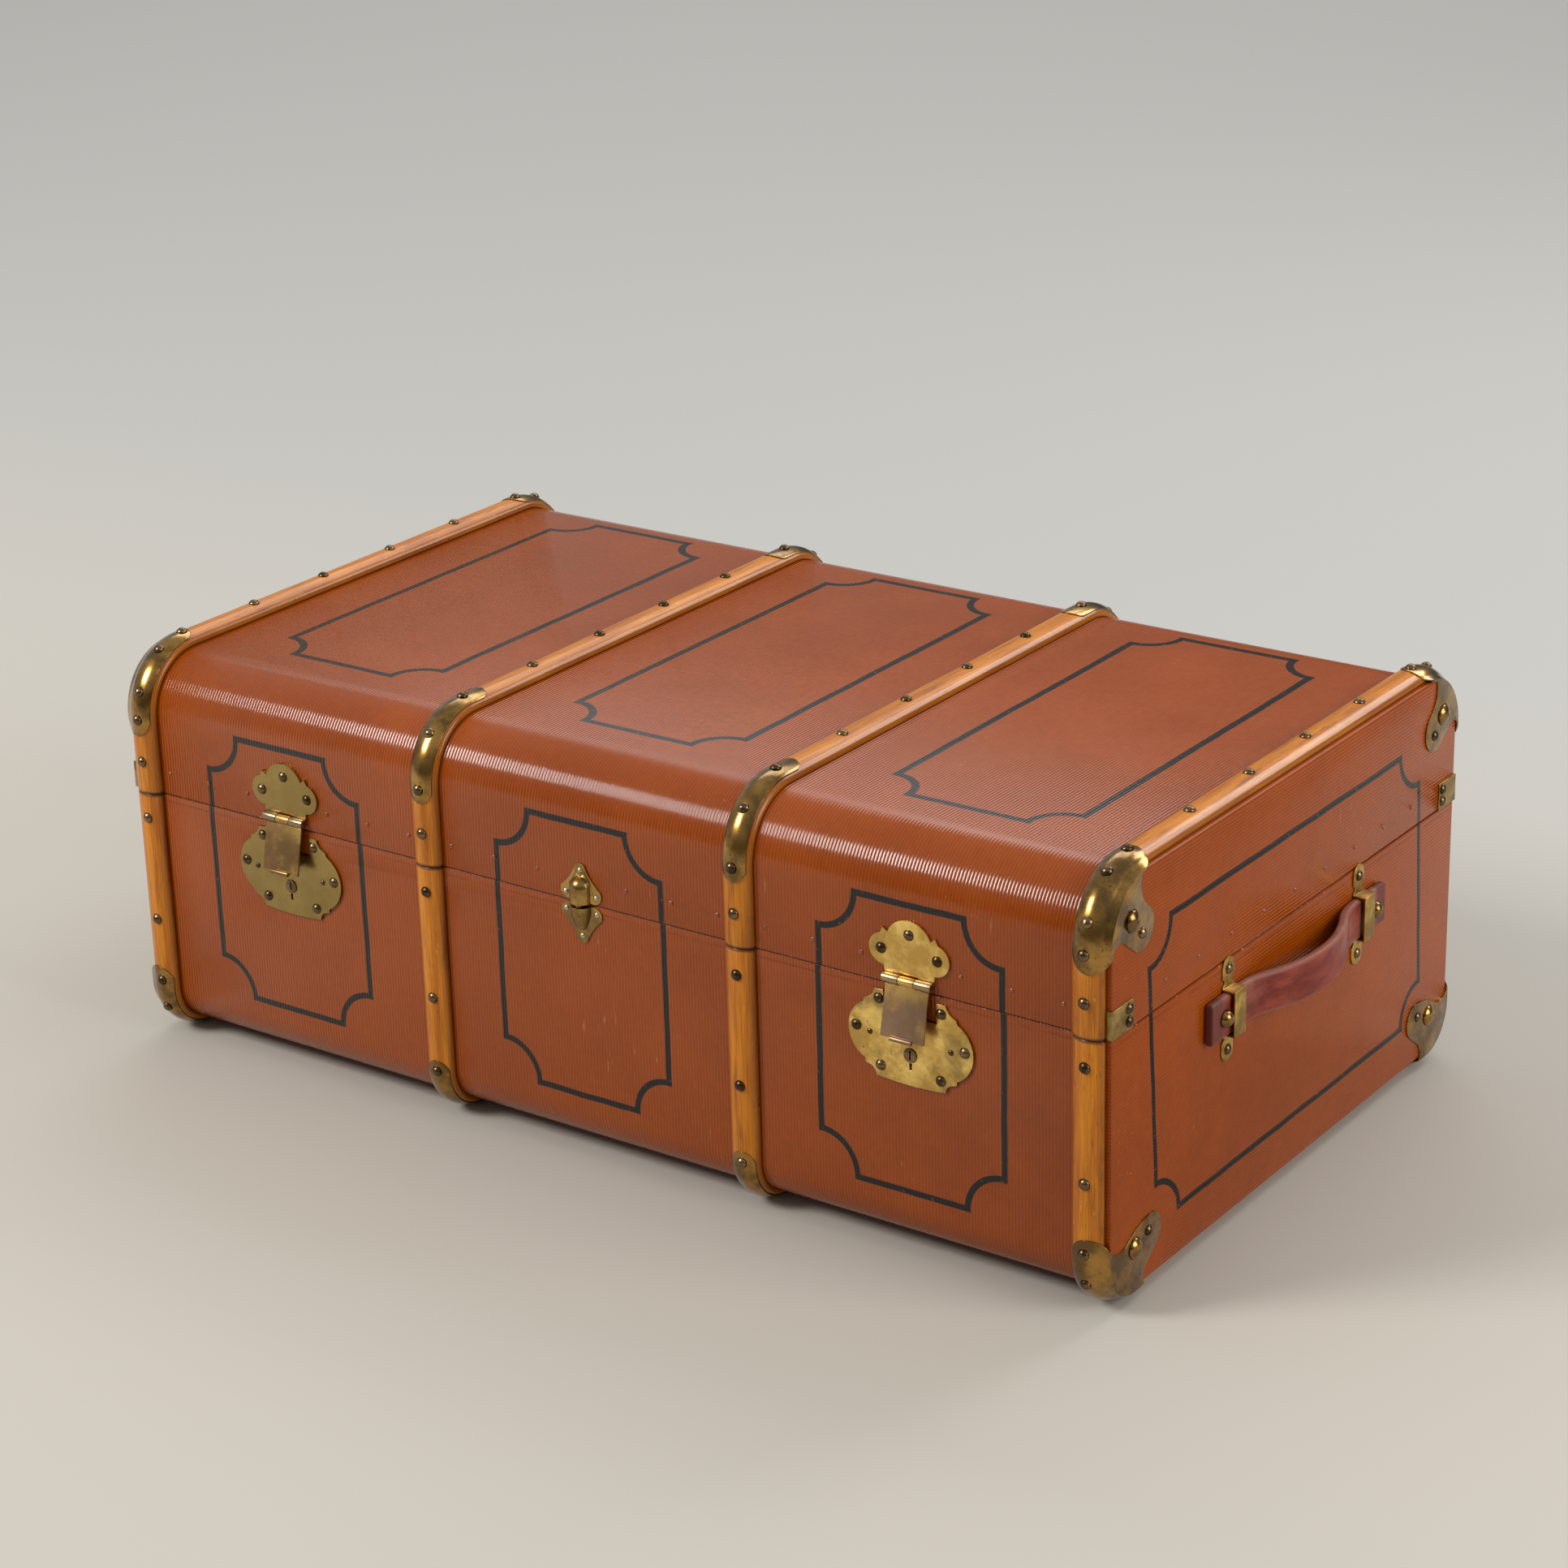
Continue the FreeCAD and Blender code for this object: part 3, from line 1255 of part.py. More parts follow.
# Every object has to be sound before anything is written
doc.recompute()
for thing in doc.Objects:
    if "Invalid" in thing.State or "Error" in thing.State:
        raise RuntimeError(f"{thing.Label} failed: {thing.State}")
for part in sub_parts:
    if part.Shape.isNull() or not part.Shape.isValid():
        raise RuntimeError(f"the shape of {part.Label} is not sound")

os.makedirs("parts", exist_ok=True)
for part in sub_parts:
    part.Shape.exportStep(os.path.join("parts", part.Label + ".step"))
    print(f"{part.Label}: {len(part.Shape.Solids)} solids, {part.Shape.Volume:.0f} mm3")
print(len(sub_parts), "nodes")
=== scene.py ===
# %% [markdown]
# # A wood-bound cabin trunk
# This lesson dresses a finished CAD model of an old travelling trunk: two board shells under a ribbed
# painted covering, bentwood hoops, brass caps and locks, and a leather handle on each end.
# The CAD model is loaded first and stays as it is. It gives the main sizes and places, and each piece
# made here either gives a CAD piece its finish or stands in its place.

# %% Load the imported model
import json
import math

import bmesh
import bpy
from mathutils import Matrix, Quaternion, Vector


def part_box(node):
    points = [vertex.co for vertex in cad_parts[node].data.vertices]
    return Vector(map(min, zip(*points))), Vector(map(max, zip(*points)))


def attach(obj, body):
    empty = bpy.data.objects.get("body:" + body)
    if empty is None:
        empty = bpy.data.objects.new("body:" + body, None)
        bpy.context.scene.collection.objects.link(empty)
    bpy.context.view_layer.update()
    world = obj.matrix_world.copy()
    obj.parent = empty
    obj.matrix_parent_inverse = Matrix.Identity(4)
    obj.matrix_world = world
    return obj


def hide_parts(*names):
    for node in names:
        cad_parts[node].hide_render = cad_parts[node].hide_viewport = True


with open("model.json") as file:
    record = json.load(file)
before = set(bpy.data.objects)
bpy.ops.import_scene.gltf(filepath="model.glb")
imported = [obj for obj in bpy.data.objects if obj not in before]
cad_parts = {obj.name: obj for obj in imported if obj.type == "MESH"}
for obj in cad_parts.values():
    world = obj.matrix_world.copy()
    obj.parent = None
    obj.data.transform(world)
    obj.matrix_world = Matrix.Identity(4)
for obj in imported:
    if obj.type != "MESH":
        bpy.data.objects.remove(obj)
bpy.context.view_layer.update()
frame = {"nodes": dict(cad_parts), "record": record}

bodies = frame["record"]["behaviour"]["bodies"]
body_of_node = {node: body for body, nodes in bodies.items() for node in nodes}

# %% [markdown]
# ## The camera
# The trunk is seen from its front right, a little above the lid, through a long lens.
# A camera needs a place, a point to look at, a roll and a focal length. They could be found by trying,
# but straight edges that run towards vanishing points fix all four, so they were worked out from the
# trunk's own edges and are only set here.

# %% Camera
camera_place = Vector((1.8223, -2.5298, 1.4619))
camera_aim = Vector((-0.013, 0.018, 0.238))
camera_roll = math.radians(-1.6)

camera_data = bpy.data.cameras.new("camera")
camera_data.sensor_width = 36
camera_data.lens = 87.63
camera = bpy.data.objects.new("camera", camera_data)
bpy.context.scene.collection.objects.link(camera)
bpy.context.scene.camera = camera
looking = camera_aim - camera_place
level = looking.to_track_quat("-Z", "Y")
camera.location = camera_place
camera.rotation_mode = "QUATERNION"
camera.rotation_quaternion = level @ Quaternion((0, 0, 1), camera_roll)
print(f"camera {looking.length:.2f} m from the trunk")

# %% [markdown]
# ## Main sizes
# The shell's depth, the seam between lid and base, and the step from bay to bay are needed by many
# pieces. They could be typed in again, but then they could drift away from the model, so they are read
# from the CAD boxes once. The right lock sits in the middle of its bay, so its place gives that step.
# Everything is in metres, and the front of the trunk faces -Y.

# %% Main sizes
lid_low, lid_high = (Vector(corner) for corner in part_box("lid_wrap"))
base_low, base_high = (Vector(corner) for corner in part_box("base_wrap"))
half_depth = lid_high.y
half_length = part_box("lid_right_end")[1][0]
seam = (lid_low.z + base_high.z) / 2
shell_top = lid_high.z
bay = (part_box("hasp_right")[0][0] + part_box("hasp_right")[1][0]) / 2
print(f"half length {half_length:.4f}, half depth {half_depth:.4f}, seam {seam:.4f}, bay {bay:.4f}")

# %% [markdown]
# ## Writing shader maths
# A finish is a tree of nodes. Adding each Math node by hand hides the idea behind it, so one small class
# wraps a socket and lets it be added, multiplied and compared as if it were a number. Any other node
# comes from `node`, which sets a node's settings first and then gives each socket a value or a link.

# %% Shader maths
def join(socket, value):
    """Links a wire to a socket, or sets the socket to a plain value."""
    if isinstance(value, Wire):
        value.tree.links.new(value.socket, socket)
    else:
        socket.default_value = value


class Wire:
    """A socket of a node tree that can be used in sums like a number."""

    def __init__(self, tree, socket):
        self.tree = tree
        self.socket = socket

    def node(self, kind, settings=None, inputs=None, output=0):
        made = self.tree.nodes.new(kind)
        for name, value in (settings or {}).items():
            setattr(made, name, value)
        for name, value in (inputs or {}).items():
            join(made.inputs[name], value)
        return Wire(self.tree, made.outputs[output])

    def math(self, operation, *others):
        return self.node("ShaderNodeMath", {"operation": operation}, dict(enumerate((self,) + others)))

    def vector(self, operation, inputs):
        return self.node("ShaderNodeVectorMath", {"operation": operation}, inputs)

    def __add__(self, other):
        return self.math("ADD", other)

    def __sub__(self, other):
        return self.math("SUBTRACT", other)

    def __rsub__(self, other):
        return self.math("MULTIPLY_ADD", -1, other)

    def __mul__(self, other):
        return self.math("MULTIPLY", other)

    def __truediv__(self, other):
        return self.math("DIVIDE", other)

    def __pow__(self, other):
        return self.math("POWER", other)

    def __gt__(self, other):
        return self.math("GREATER_THAN", other)

    def __lt__(self, other):
        return self.math("LESS_THAN", other)

    def __abs__(self):
        return self.math("ABSOLUTE")

    __radd__ = __add__
    __rmul__ = __mul__

    def most(self, other):
        return self.math("MAXIMUM", other)

    def least(self, other):
        return self.math("MINIMUM", other)

    def fade(self, low, high):
        """0 below low, 1 above high, and smooth between."""
        return self.node("ShaderNodeMapRange", {"interpolation_type": "SMOOTHSTEP"},
                         {"Value": self, "From Min": low, "From Max": high})

    def near(self, place, core, reach):
        """1 within core of a place, 0 beyond reach of it."""
        return 1 - abs(self - place).fade(core, reach)

    def parts(self):
        """The x, y and z of a vector."""
        split = self.node("ShaderNodeSeparateXYZ", inputs={0: self})
        return [Wire(self.tree, socket) for socket in split.socket.node.outputs]

    def noise(self, scale, detail=4, roughness=0.55, stretch=(1, 1, 1)):
        """Cloudy noise over this vector, finer along the axes with a larger stretch."""
        spread = self.vector("MULTIPLY", {0: self, 1: stretch})
        return self.node("ShaderNodeTexNoise", inputs={
            "Vector": spread, "Scale": scale, "Detail": detail, "Roughness": roughness})

    def blend(self, first, second):
        """Goes from the first colour to the second as this wire goes from 0 to 1."""
        return self.node("ShaderNodeMix", {"data_type": "RGBA"}, {0: self, 6: first, 7: second}, output=2)


print("shader maths ready")

# %% [markdown]
# ## Starting a finish
# Every finish begins with a new material, its Principled shader and the surface's own coordinates, so one
# helper makes all three. Colours are written from 0 to 255, as on a paint chart, and made linear, because
# the shader reckons in linear light. Most finishes end with a bump, so that has a helper too.

# %% Starting a finish
def paint(red, green, blue):
    """A colour as a paint chart gives it, 0 to 255, made linear for the shader."""
    return tuple(((part / 255 + 0.055) / 1.055) ** 2.4 for part in (red, green, blue)) + (1.0,)


def new_finish(name, coordinates="Object"):
    """A material, its shader, and a wire that carries the surface's own coordinates."""
    material = bpy.data.materials.new(name)
    material.use_nodes = True
    tree = material.node_tree
    shader = tree.nodes["Principled BSDF"]
    where = tree.nodes.new("ShaderNodeTexCoord")
    return material, shader, Wire(tree, where.outputs[coordinates])


def bump(shader, height, strength, distance, inputs=None):
    """Raises a surface by a height, on top of a normal where one is given."""
    sockets = {"Height": height, "Strength": strength, "Distance": distance, **(inputs or {})}
    join(shader.inputs["Normal"], height.node("ShaderNodeBump", inputs=sockets))


print("finish helpers ready")

# %% [markdown]
# ## Lines painted on the covering
# A sign painter has drawn a dark line panel on each bay and each end, a rectangle with its corners
# hollowed out. It could be a thin strip of mesh, but a brush line has no thickness, so it is drawn in the
# shader. The wire `inside` is the distance to a rectangle, the corner's distance bites a quarter circle
# out of it, and the line is where their join is near zero. The panels were painted by hand, so each
# bay's is a little off its middle, those on the ends lean, and every line wavers.

# %% Painted panels
line_width = 0.0055
top_line_width = 0.0068
skin = 0.0006
side_panel = {"middle": 0.1845, "half_width": 0.0863, "half_height": 0.1235, "bite": 0.0345}
top_panel = {"middle": 0.0115, "half_width": 0.087, "half_height": 0.2165, "bite": 0.032}
end_panel = {"middle": 0.182, "half_width": 0.226, "half_height": 0.128, "bite": 0.034}
slip_middle, slip_step, slip_outer = -0.0035, 0.0014, 0.0006
lid_inset = 0.0012
lean, lean_level = 0.0695, 0.185


def panel_line(panel, across, along, waver, width, inset=0):
    """1 on the outline of a panel whose corners are hollowed, 0 elsewhere."""
    over_across = abs(across + waver) - (panel["half_width"] - inset)
    over_along = abs(along - panel["middle"] + waver) - panel["half_height"]
    inside = over_across.most(over_along)
    corner = (over_across * over_across + over_along * over_along) ** 0.5
    edge = inside.most(panel["bite"] - corner)
    return 1 - abs(edge).fade(width * 0.42, width * 0.58)


def shell_panels(place, waver):
    """Panels on the front, back and top of the three bays; those on the sides cross the seam."""
    x, y, z = place.parts()
    number = (x / bay).math("ROUND")
    across = x - number * bay
    slip = number * slip_step + number * number * slip_outer + slip_middle
    on_side = panel_line(side_panel, across - slip, z, waver, line_width, (z > seam) * lid_inset)
    on_side = on_side * (abs(y) > half_depth - skin)
    on_top = panel_line(top_panel, across, y, waver, top_line_width)
    on_top = on_top * (z > shell_top - skin)
    return on_side.most(on_top) * (abs(x) < 1.5 * bay)


def end_panels(place, waver):
    """One panel on each end, leaning a little."""
    x, y, z = place.parts()
    leaning = y + (z - lean_level) * lean
    return panel_line(end_panel, leaning, z, waver, line_width) * (abs(x) > half_length - skin)


print(f"painted lines {line_width * 1000:.1f} mm wide")

# %% [markdown]
# ## Ribs of the covering
# The boards are covered with a ribbed fibre cloth. The ribs are 3 mm apart and run round the trunk, so they
# follow each other along x on the bent shells and along z on the flat ends.
# Ribs could be modelled, but some three hundred of them on each shell would be a heavy mesh. A bump map is
# the usual answer. Here the slope of a rib is a plain cosine, so the normal is tilted by it directly,
# which stays sharp from any distance.

# %% Ribs
rib_pitch = 0.00308
rib_relief = 0.00021


def ribbed_normal(place, over, direction):
    """The surface's normal, tilted by a row of round ribs that follow each other in a direction."""
    slope = (over * (math.tau / rib_pitch)).math("COSINE") * (math.pi * rib_relief / rib_pitch)
    tilt = place.vector("SCALE", {0: direction, "Scale": slope})
    tilt = place.node("ShaderNodeVectorTransform", {
        "vector_type": "VECTOR", "convert_from": "OBJECT", "convert_to": "WORLD"}, {0: tilt})
    flat = place.node("ShaderNodeNewGeometry", output="Normal")
    return flat.vector("NORMALIZE", {0: flat.vector("SUBTRACT", {0: flat, 1: tilt})})


print(f"ribs every {rib_pitch * 1000:.2f} mm")

# %% [markdown]
# ## Red paint
# The cloth is painted red-brown. The paint has faded in clouds, gone dark where it was handled, and
# chipped to pale specks and short scratches. Painted image maps could show that, but noise has no seams
# and fits any piece. Near the lid's opening the edges are chipped, and a dark line painted along the seam
# is painted shade in the gap between lid and base. A faint hem below it shows where the cloth is turned
# over; its thin dark line is painted shade along the fold.

# %% Covering
hem_drop = 0.0065


def worn_red(place):
    """Red-brown paint with faded clouds, pale specks and short scratches."""
    cloud = place.noise(7, 5)
    fine = place.noise(160, 3)
    red = (cloud * 0.7 + fine * 0.3).fade(0.3, 0.72).blend(paint(141, 61, 2), paint(158, 71, 7))
    soiled = place.noise(3.2, 6, 0.65).fade(0.52, 0.74)
    red = (soiled * 0.35).blend(red, paint(104, 44, 8))
    specks = place.noise(430, 2, 0.5).fade(0.735, 0.76) * place.noise(14, 3).fade(0.5, 0.62)
    strokes = place.noise(700, 2, 0.5, (1, 1, 0.06)).fade(0.72, 0.75) * place.noise(8, 2).fade(0.56, 0.62)
    red = (specks.most(strokes) * 0.7).blend(red, paint(205, 148, 104))
    return red, cloud, fine


def covering(name, over_axis, panels, shine):
    """The finish of a shell or an end; over_axis is the axis that the ribs follow each other along."""
    material, shader, place = new_finish(name)
    over, z = place.parts()[over_axis], place.parts()[2]
    direction = [float(axis == over_axis) for axis in range(3)]
    red, cloud, fine = worn_red(place)
    # The valleys between the ribs are painted darker: painted shade where each rib hides the next from the
    # light.
    rib_valley_shade = (over * (math.tau / rib_pitch)).math("SINE").fade(0.3, -1.0)
    red = (rib_valley_shade * 0.26).blend(red, paint(86, 34, 10))
    waver = (place.noise(24, 2) - 0.5) * 0.0018
    rubbed = place.noise(260, 3).fade(0.64, 0.72) * 0.7
    # The same ink is painted darker on the top than on the sides: painted shade against the sheen the top
    # catches.
    ink = (z > shell_top - skin).blend(paint(20, 19, 18), paint(11, 10, 9))
    red = (panels(place, waver) * (1 - rubbed)).blend(red, ink)
    # The hem below the seam is a thin dark line of painted shade along the fold of the cloth.
    hem = z.near(seam - hem_drop, 0.0004, 0.0014) * place.noise(30, 3).fade(0.3, 0.6)
    red = (hem * 0.35).blend(red, paint(72, 30, 12))
    # A dark line along the seam: painted shade in the gap between lid and base.
    red = (z.near(seam, 0.0005, 0.0016) * 0.5).blend(red, paint(58, 24, 10))
    chipped = z.near(seam, 0.001, 0.003) * place.noise(240, 3).fade(0.65, 0.7)
    red = (chipped * 0.75).blend(red, paint(206, 152, 118))
    join(shader.inputs["Base Color"], red)
    join(shader.inputs["Roughness"], (cloud * 0.5 + fine * 0.5).fade(0.2, 0.8) * 0.08 + 0.11)
    shader.inputs["Specular IOR Level"].default_value = shine
    bump(shader, fine, 0.12, 0.0004, {"Normal": ribbed_normal(place, over, direction)})
    return material


shell_paint = covering("shell_paint", 0, shell_panels, shine=0.44)
end_paint = covering("end_paint", 2, end_panels, shine=0.18)
print("covering:", shell_paint.name, end_paint.name)

# %% [markdown]
# ## Painted rivets
# The rivets along the lid's edge were painted over with the covering, so they take the same red without
# ribs, a little darker. A small domed head could have its own colour map, but it needs only a gloss that
# catches the lamp.

# %% Rivet paint
rivet_paint, rivet_shader, rivet_place = new_finish("rivet_paint")
rivet_soil = rivet_place.noise(120, 3) * 0.6
rivet_red = rivet_soil.blend(worn_red(rivet_place)[0], paint(92, 36, 12))
join(rivet_shader.inputs["Base Color"], rivet_red)
join(rivet_shader.inputs["Roughness"], rivet_place.noise(200, 3) * 0.12 + 0.08)
rivet_shader.inputs["Coat Weight"].default_value = 0.8
print("rivets:", rivet_paint.name)

# %% [markdown]
# ## Varnished wood
# The hoops are honey-coloured bentwood under old varnish. Grain runs along each strip and round its
# bends, so the finish reads a UV map whose first axis follows the strip; the hoops get that map when they
# are made. Long stretched noise makes the streaks, a finer one the dark pores, and a coat gives the
# varnish its shine. Each strip is painted darker towards both its edges. At the seam the bare end grain
# is dark, and the band of the faces next to it is painted shade for the gap between the hoops.

# %% Wood
edge_start, edge_full = 0.0085, 0.0138


def hoop_wood():
    material, shader, place = new_finish("hoop_wood", "UV")
    x, _, z = place.node("ShaderNodeTexCoord", output="Object").parts()
    streak = place.noise(30, 6, 0.6, (0.5, 34, 1))
    broad = place.noise(9, 4, 0.55, (1, 9, 1))
    grain = (streak * 0.55 + broad * 0.45).fade(0.33, 0.66)
    wood = grain.blend(paint(158, 80, 3), paint(211, 132, 16))
    smudge = place.noise(26, 4, 0.6, (0.5, 5, 1)).fade(0.54, 0.74)
    wood = (smudge * 0.65).blend(wood, paint(104, 54, 6))
    patches = place.noise(16, 3, 0.5, (0.6, 4, 1)).fade(0.42, 0.56)
    pores = place.noise(70, 2, 0.5, (1, 26, 1)).fade(0.64, 0.7) * patches
    wood = (pores * 0.85).blend(wood, paint(62, 30, 8))
    rub = place.noise(70, 3, 0.6, (1, 3, 1)).fade(0.66, 0.73)
    wood = (rub * 0.45).blend(wood, paint(232, 172, 96))
    # Each strip is painted darker towards both of its edges.
    from_middle = abs(abs(abs(x) - bay) - bay / 2)
    wood = (from_middle.fade(edge_start, edge_full) * 0.55).blend(wood, paint(112, 52, 6))
    # Dark bare end grain at the seam, and painted shade on the faces next to it for the gap between the
    # hoops.
    end_grain_and_seam_shade = z.near(seam, 0.0012, 0.0034)
    wood = (end_grain_and_seam_shade * 0.8).blend(wood, paint(62, 30, 10))
    join(shader.inputs["Base Color"], wood)
    join(shader.inputs["Roughness"], 0.4 - grain * 0.1)
    bump(shader, streak - pores * 0.6, 0.22, 0.0004)
    shader.inputs["Specular IOR Level"].default_value = 0.2
    shader.inputs["Coat Weight"].default_value = 0.4
    shader.inputs["Coat Roughness"].default_value = 0.09
    return material


wood_finish = hoop_wood()
print("wood:", wood_finish.name)

# %% [markdown]
# ## Aged brass
# Old brass is a metal whose colour drifts from gold to olive brown, with small dark specks and fine
# scratches. Each metal could have a tree of its own, but they differ only in two colours, a speck colour,
# a roughness and a coat of lacquer, so one function makes them all. A stain can change the colour by
# place: the hasp has lost its brass where hands pressed it, the lock's hinge barrel is rubbed grey, and
# the nails of the dowel in the middle are nickel-pale.

# %% Brass and its stains
barrel_level = seam + 0.0075
dowel_reach = 0.03


def aged_brass(name, bright, dull, speck, rough, lacquer=0.0, stain=None):
    material, shader, place = new_finish(name)
    cloud = place.noise(42, 6, 0.62)
    spots = place.noise(400, 2, 0.5).fade(0.66, 0.74)
    metal = cloud.fade(0.38, 0.64).blend(dull, bright)
    metal = (spots * 0.7).blend(metal, speck)
    if stain:
        metal = stain(place, metal)
    join(shader.inputs["Base Color"], metal)
    shader.inputs["Metallic"].default_value = 1.0
    scratches = place.noise(60, 4, 0.6, (8, 1, 1))
    join(shader.inputs["Roughness"], (1 - cloud) * (rough + 0.06) + scratches * 0.08 + spots * 0.25 + rough)
    shader.inputs["Coat Weight"].default_value = lacquer
    shader.inputs["Coat Roughness"].default_value = 0.07
    bump(shader, cloud * 0.6 + scratches * 0.2 - spots * 0.3, 0.12, 0.0006)
    return material


def rubbed_plate(place, metal):
    """Olive tarnish over the left lock and in clouds on the right one, and a greyer hinge barrel."""
    x, _, z = place.parts()
    clouds = place.noise(28, 5, 0.6).fade(0.5, 0.66) * 0.75
    metal = clouds.most((x < 0) * 0.85).blend(metal, paint(142, 122, 72))
    return (z.near(barrel_level, 0.0036, 0.0048) * 0.75).blend(metal, paint(150, 130, 108))


def rubbed_hasp(place, metal):
    """Bare metal on the hasp's face below its barrel, darker on the left lock."""
    x, _, z = place.parts()
    face = (barrel_level - z).fade(0.007, 0.02) * place.noise(50, 4).fade(0.25, 0.5)
    bare = (x < 0).blend(paint(146, 117, 99), paint(118, 92, 62))
    return (face * 0.8).blend(metal, bare)


def pale_middle(place, metal):
    """Nickel-pale heads on the nails of the dowel, at the middle of the trunk."""
    x = place.parts()[0]
    return ((abs(x) < dowel_reach) * 0.85).blend(metal, paint(206, 198, 172))


print("brass and its stains ready")

# %% [markdown]
# ## The trunk's metals
# The caps are dark and lacquered, the lock plates brighter, the end clamps dull and the nails nearly
# brown. The hinge leaves at the back and the lock's inner pieces are plain dark steel; it has no gold in
# it, but it ages in the same clouds and specks, so the same function serves.

# %% Metals
cap_brass = aged_brass("cap_brass", paint(172, 130, 60), paint(108, 80, 34), paint(50, 38, 18),
                       rough=0.1, lacquer=0.5)
plate_brass = aged_brass("plate_brass", paint(246, 210, 120), paint(200, 160, 82), paint(84, 62, 28),
                         rough=0.16, lacquer=0.2, stain=rubbed_plate)
hasp_brass = aged_brass("hasp_brass", paint(214, 176, 104), paint(160, 124, 78), paint(74, 56, 40),
                        rough=0.2, stain=rubbed_hasp)
dowel_bronze = aged_brass("dowel_bronze", paint(184, 146, 72), paint(130, 100, 47), paint(54, 42, 20),
                          rough=0.14, lacquer=0.5)
dull_brass = aged_brass("dull_brass", paint(180, 152, 96), paint(128, 102, 58), paint(58, 46, 26),
                        rough=0.24)
loop_brass = aged_brass("loop_brass", paint(214, 176, 96), paint(156, 122, 60), paint(64, 50, 24),
                        rough=0.2)
nail_bronze = aged_brass("nail_bronze", paint(140, 114, 84), paint(72, 57, 41), paint(36, 28, 22),
                         rough=0.12, stain=pale_middle)
dark_steel = aged_brass("leaf_steel", paint(112, 96, 76), paint(62, 52, 42), paint(34, 28, 24),
                        rough=0.28)
print("metals from", cap_brass.name, "to", dark_steel.name)

# %% [markdown]
# ## Leather and lining
# The handle straps are oxblood leather, creased where they bend, rubbed to a pinkish grey along their
# edges and dark at the covered ends. The lining is a plain pale weave with old stains, seen only when the
# lid is up. Cells of a Voronoi texture are the pores of the leather, and crossed sines are the threads of
# the weave, since both repeat too finely to be modelled.

# %% Leather and lining
strap_low, strap_high = (Vector(corner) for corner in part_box("handle_strap_right"))
handle_level = (strap_low.z + strap_high.z) / 2
strap_width = strap_high.z - strap_low.z
stub_start, stub_full = 0.128, 0.134
thread_turns = 3800


def worn_leather():
    material, shader, place = new_finish("worn_leather")
    _, y, z = place.parts()
    pores = place.node("ShaderNodeTexVoronoi", inputs={"Vector": place, "Scale": 800.0})
    crease = place.noise(60, 5, 0.65, (1, 0.35, 1.6))
    red = crease.fade(0.35, 0.7).blend(paint(104, 33, 22), paint(146, 60, 43))
    rim = abs(z - handle_level).fade(strap_width * 0.38, strap_width * 0.49)
    faded = (place.noise(24, 5).fade(0.5, 0.7) * 0.35 + rim * 0.5).least(1)
    red = faded.blend(red, paint(158, 108, 92))
    stub = abs(y).fade(stub_start, stub_full)
    red = (stub * 0.7).blend(red, paint(82, 36, 29))
    join(shader.inputs["Base Color"], red)
    join(shader.inputs["Roughness"], crease * 0.2 + 0.36)
    shader.inputs["Specular IOR Level"].default_value = 0.3
    bump(shader, crease + pores * 0.35, 0.3, 0.0005)
    return material


def lining_cloth():
    material, shader, place = new_finish("lining_weave")
    x, y, z = place.parts()
    warp = ((x + y) * thread_turns).math("SINE")
    weft = (z * thread_turns).math("SINE")
    stain = place.noise(5, 5).fade(0.35, 0.75)
    cloth = stain.blend(paint(196, 180, 148), paint(172, 150, 114))
    cloth = (warp * weft * 0.12 + 0.12).blend(cloth, paint(120, 100, 74))
    join(shader.inputs["Base Color"], cloth)
    shader.inputs["Roughness"].default_value = 0.9
    bump(shader, warp * 0.5 + weft * 0.5, 0.25, 0.0003)
    return material


leather_finish = worn_leather()
cloth_finish = lining_cloth()
print("soft finishes:", leather_finish.name, cloth_finish.name)

# %% [markdown]
# ## Rolling the edges of pressed metal
# Sheet brass has no sharp edge: each rim is rolled or worn round and catches a thin line of light. A Bevel
# modifier could do it, but a CAD mesh is loose triangles that share no points. So a copy is merged, its
# flat faces are joined up, and every sharp edge gets a small bevel. The copy then stands for the node.
# With a width of 0 the copy is only merged, which is right for what is round already.

# %% Helpers for pieces
sharp_angle = 40
flat_angle = 0.5
same_place = 1e-6


def new_piece(name, work, finish, body, replaced, sharp=sharp_angle):
    """Makes a bmesh into an object that rides on a body and stands for CAD nodes."""
    mesh = bpy.data.meshes.new(name)
    work.to_mesh(mesh)
    work.free()
    mesh.shade_smooth()
    mesh.set_sharp_from_angle(angle=math.radians(sharp))
    mesh.materials.append(finish)
    piece = bpy.data.objects.new(name, mesh)
    bpy.context.scene.collection.objects.link(piece)
    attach(piece, body)
    if replaced:
        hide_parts(*replaced)
    return piece


def sharp_edges(work, degrees):
    limit = math.radians(degrees)
    return [edge for edge in work.edges if edge.is_manifold and edge.calc_face_angle() > limit]


def round_edges(work, edges, width, segments):
    bmesh.ops.bevel(work, geom=edges, offset=width, offset_type="OFFSET", segments=segments, profile=0.5,
                    affect="EDGES", material=-1, clamp_overlap=True)


def rolled(node, finish, width, segments=2, sharp=sharp_angle):
    """A copy of a CAD node with its sharp edges rolled over."""
    work = bmesh.new()
    work.from_mesh(frame["nodes"][node].data)
    bmesh.ops.remove_doubles(work, verts=work.verts, dist=same_place)
    if width:
        limit = math.radians(flat_angle)
        bmesh.ops.dissolve_limit(work, angle_limit=limit, verts=work.verts, edges=work.edges)
        round_edges(work, sharp_edges(work, sharp_angle), width, segments)
    return new_piece("dressed_" + node, work, finish, body_of_node[node], [node], sharp)


print("edge rounding ready")

# %% [markdown]
# ## Brass fittings and nails
# Every metal node is dressed by the kind of work it is: thin pressed caps get a fine edge, the lock plates
# and the bent handle loops a fuller one. Nails, studs, pins and rivets are round already, and the pieces
# inside the locks are out of sight, so these only change their finish. The dowel's socket keeps its
# edges too, but is shaded with a smaller angle, so that its shallow facets stay crisp.

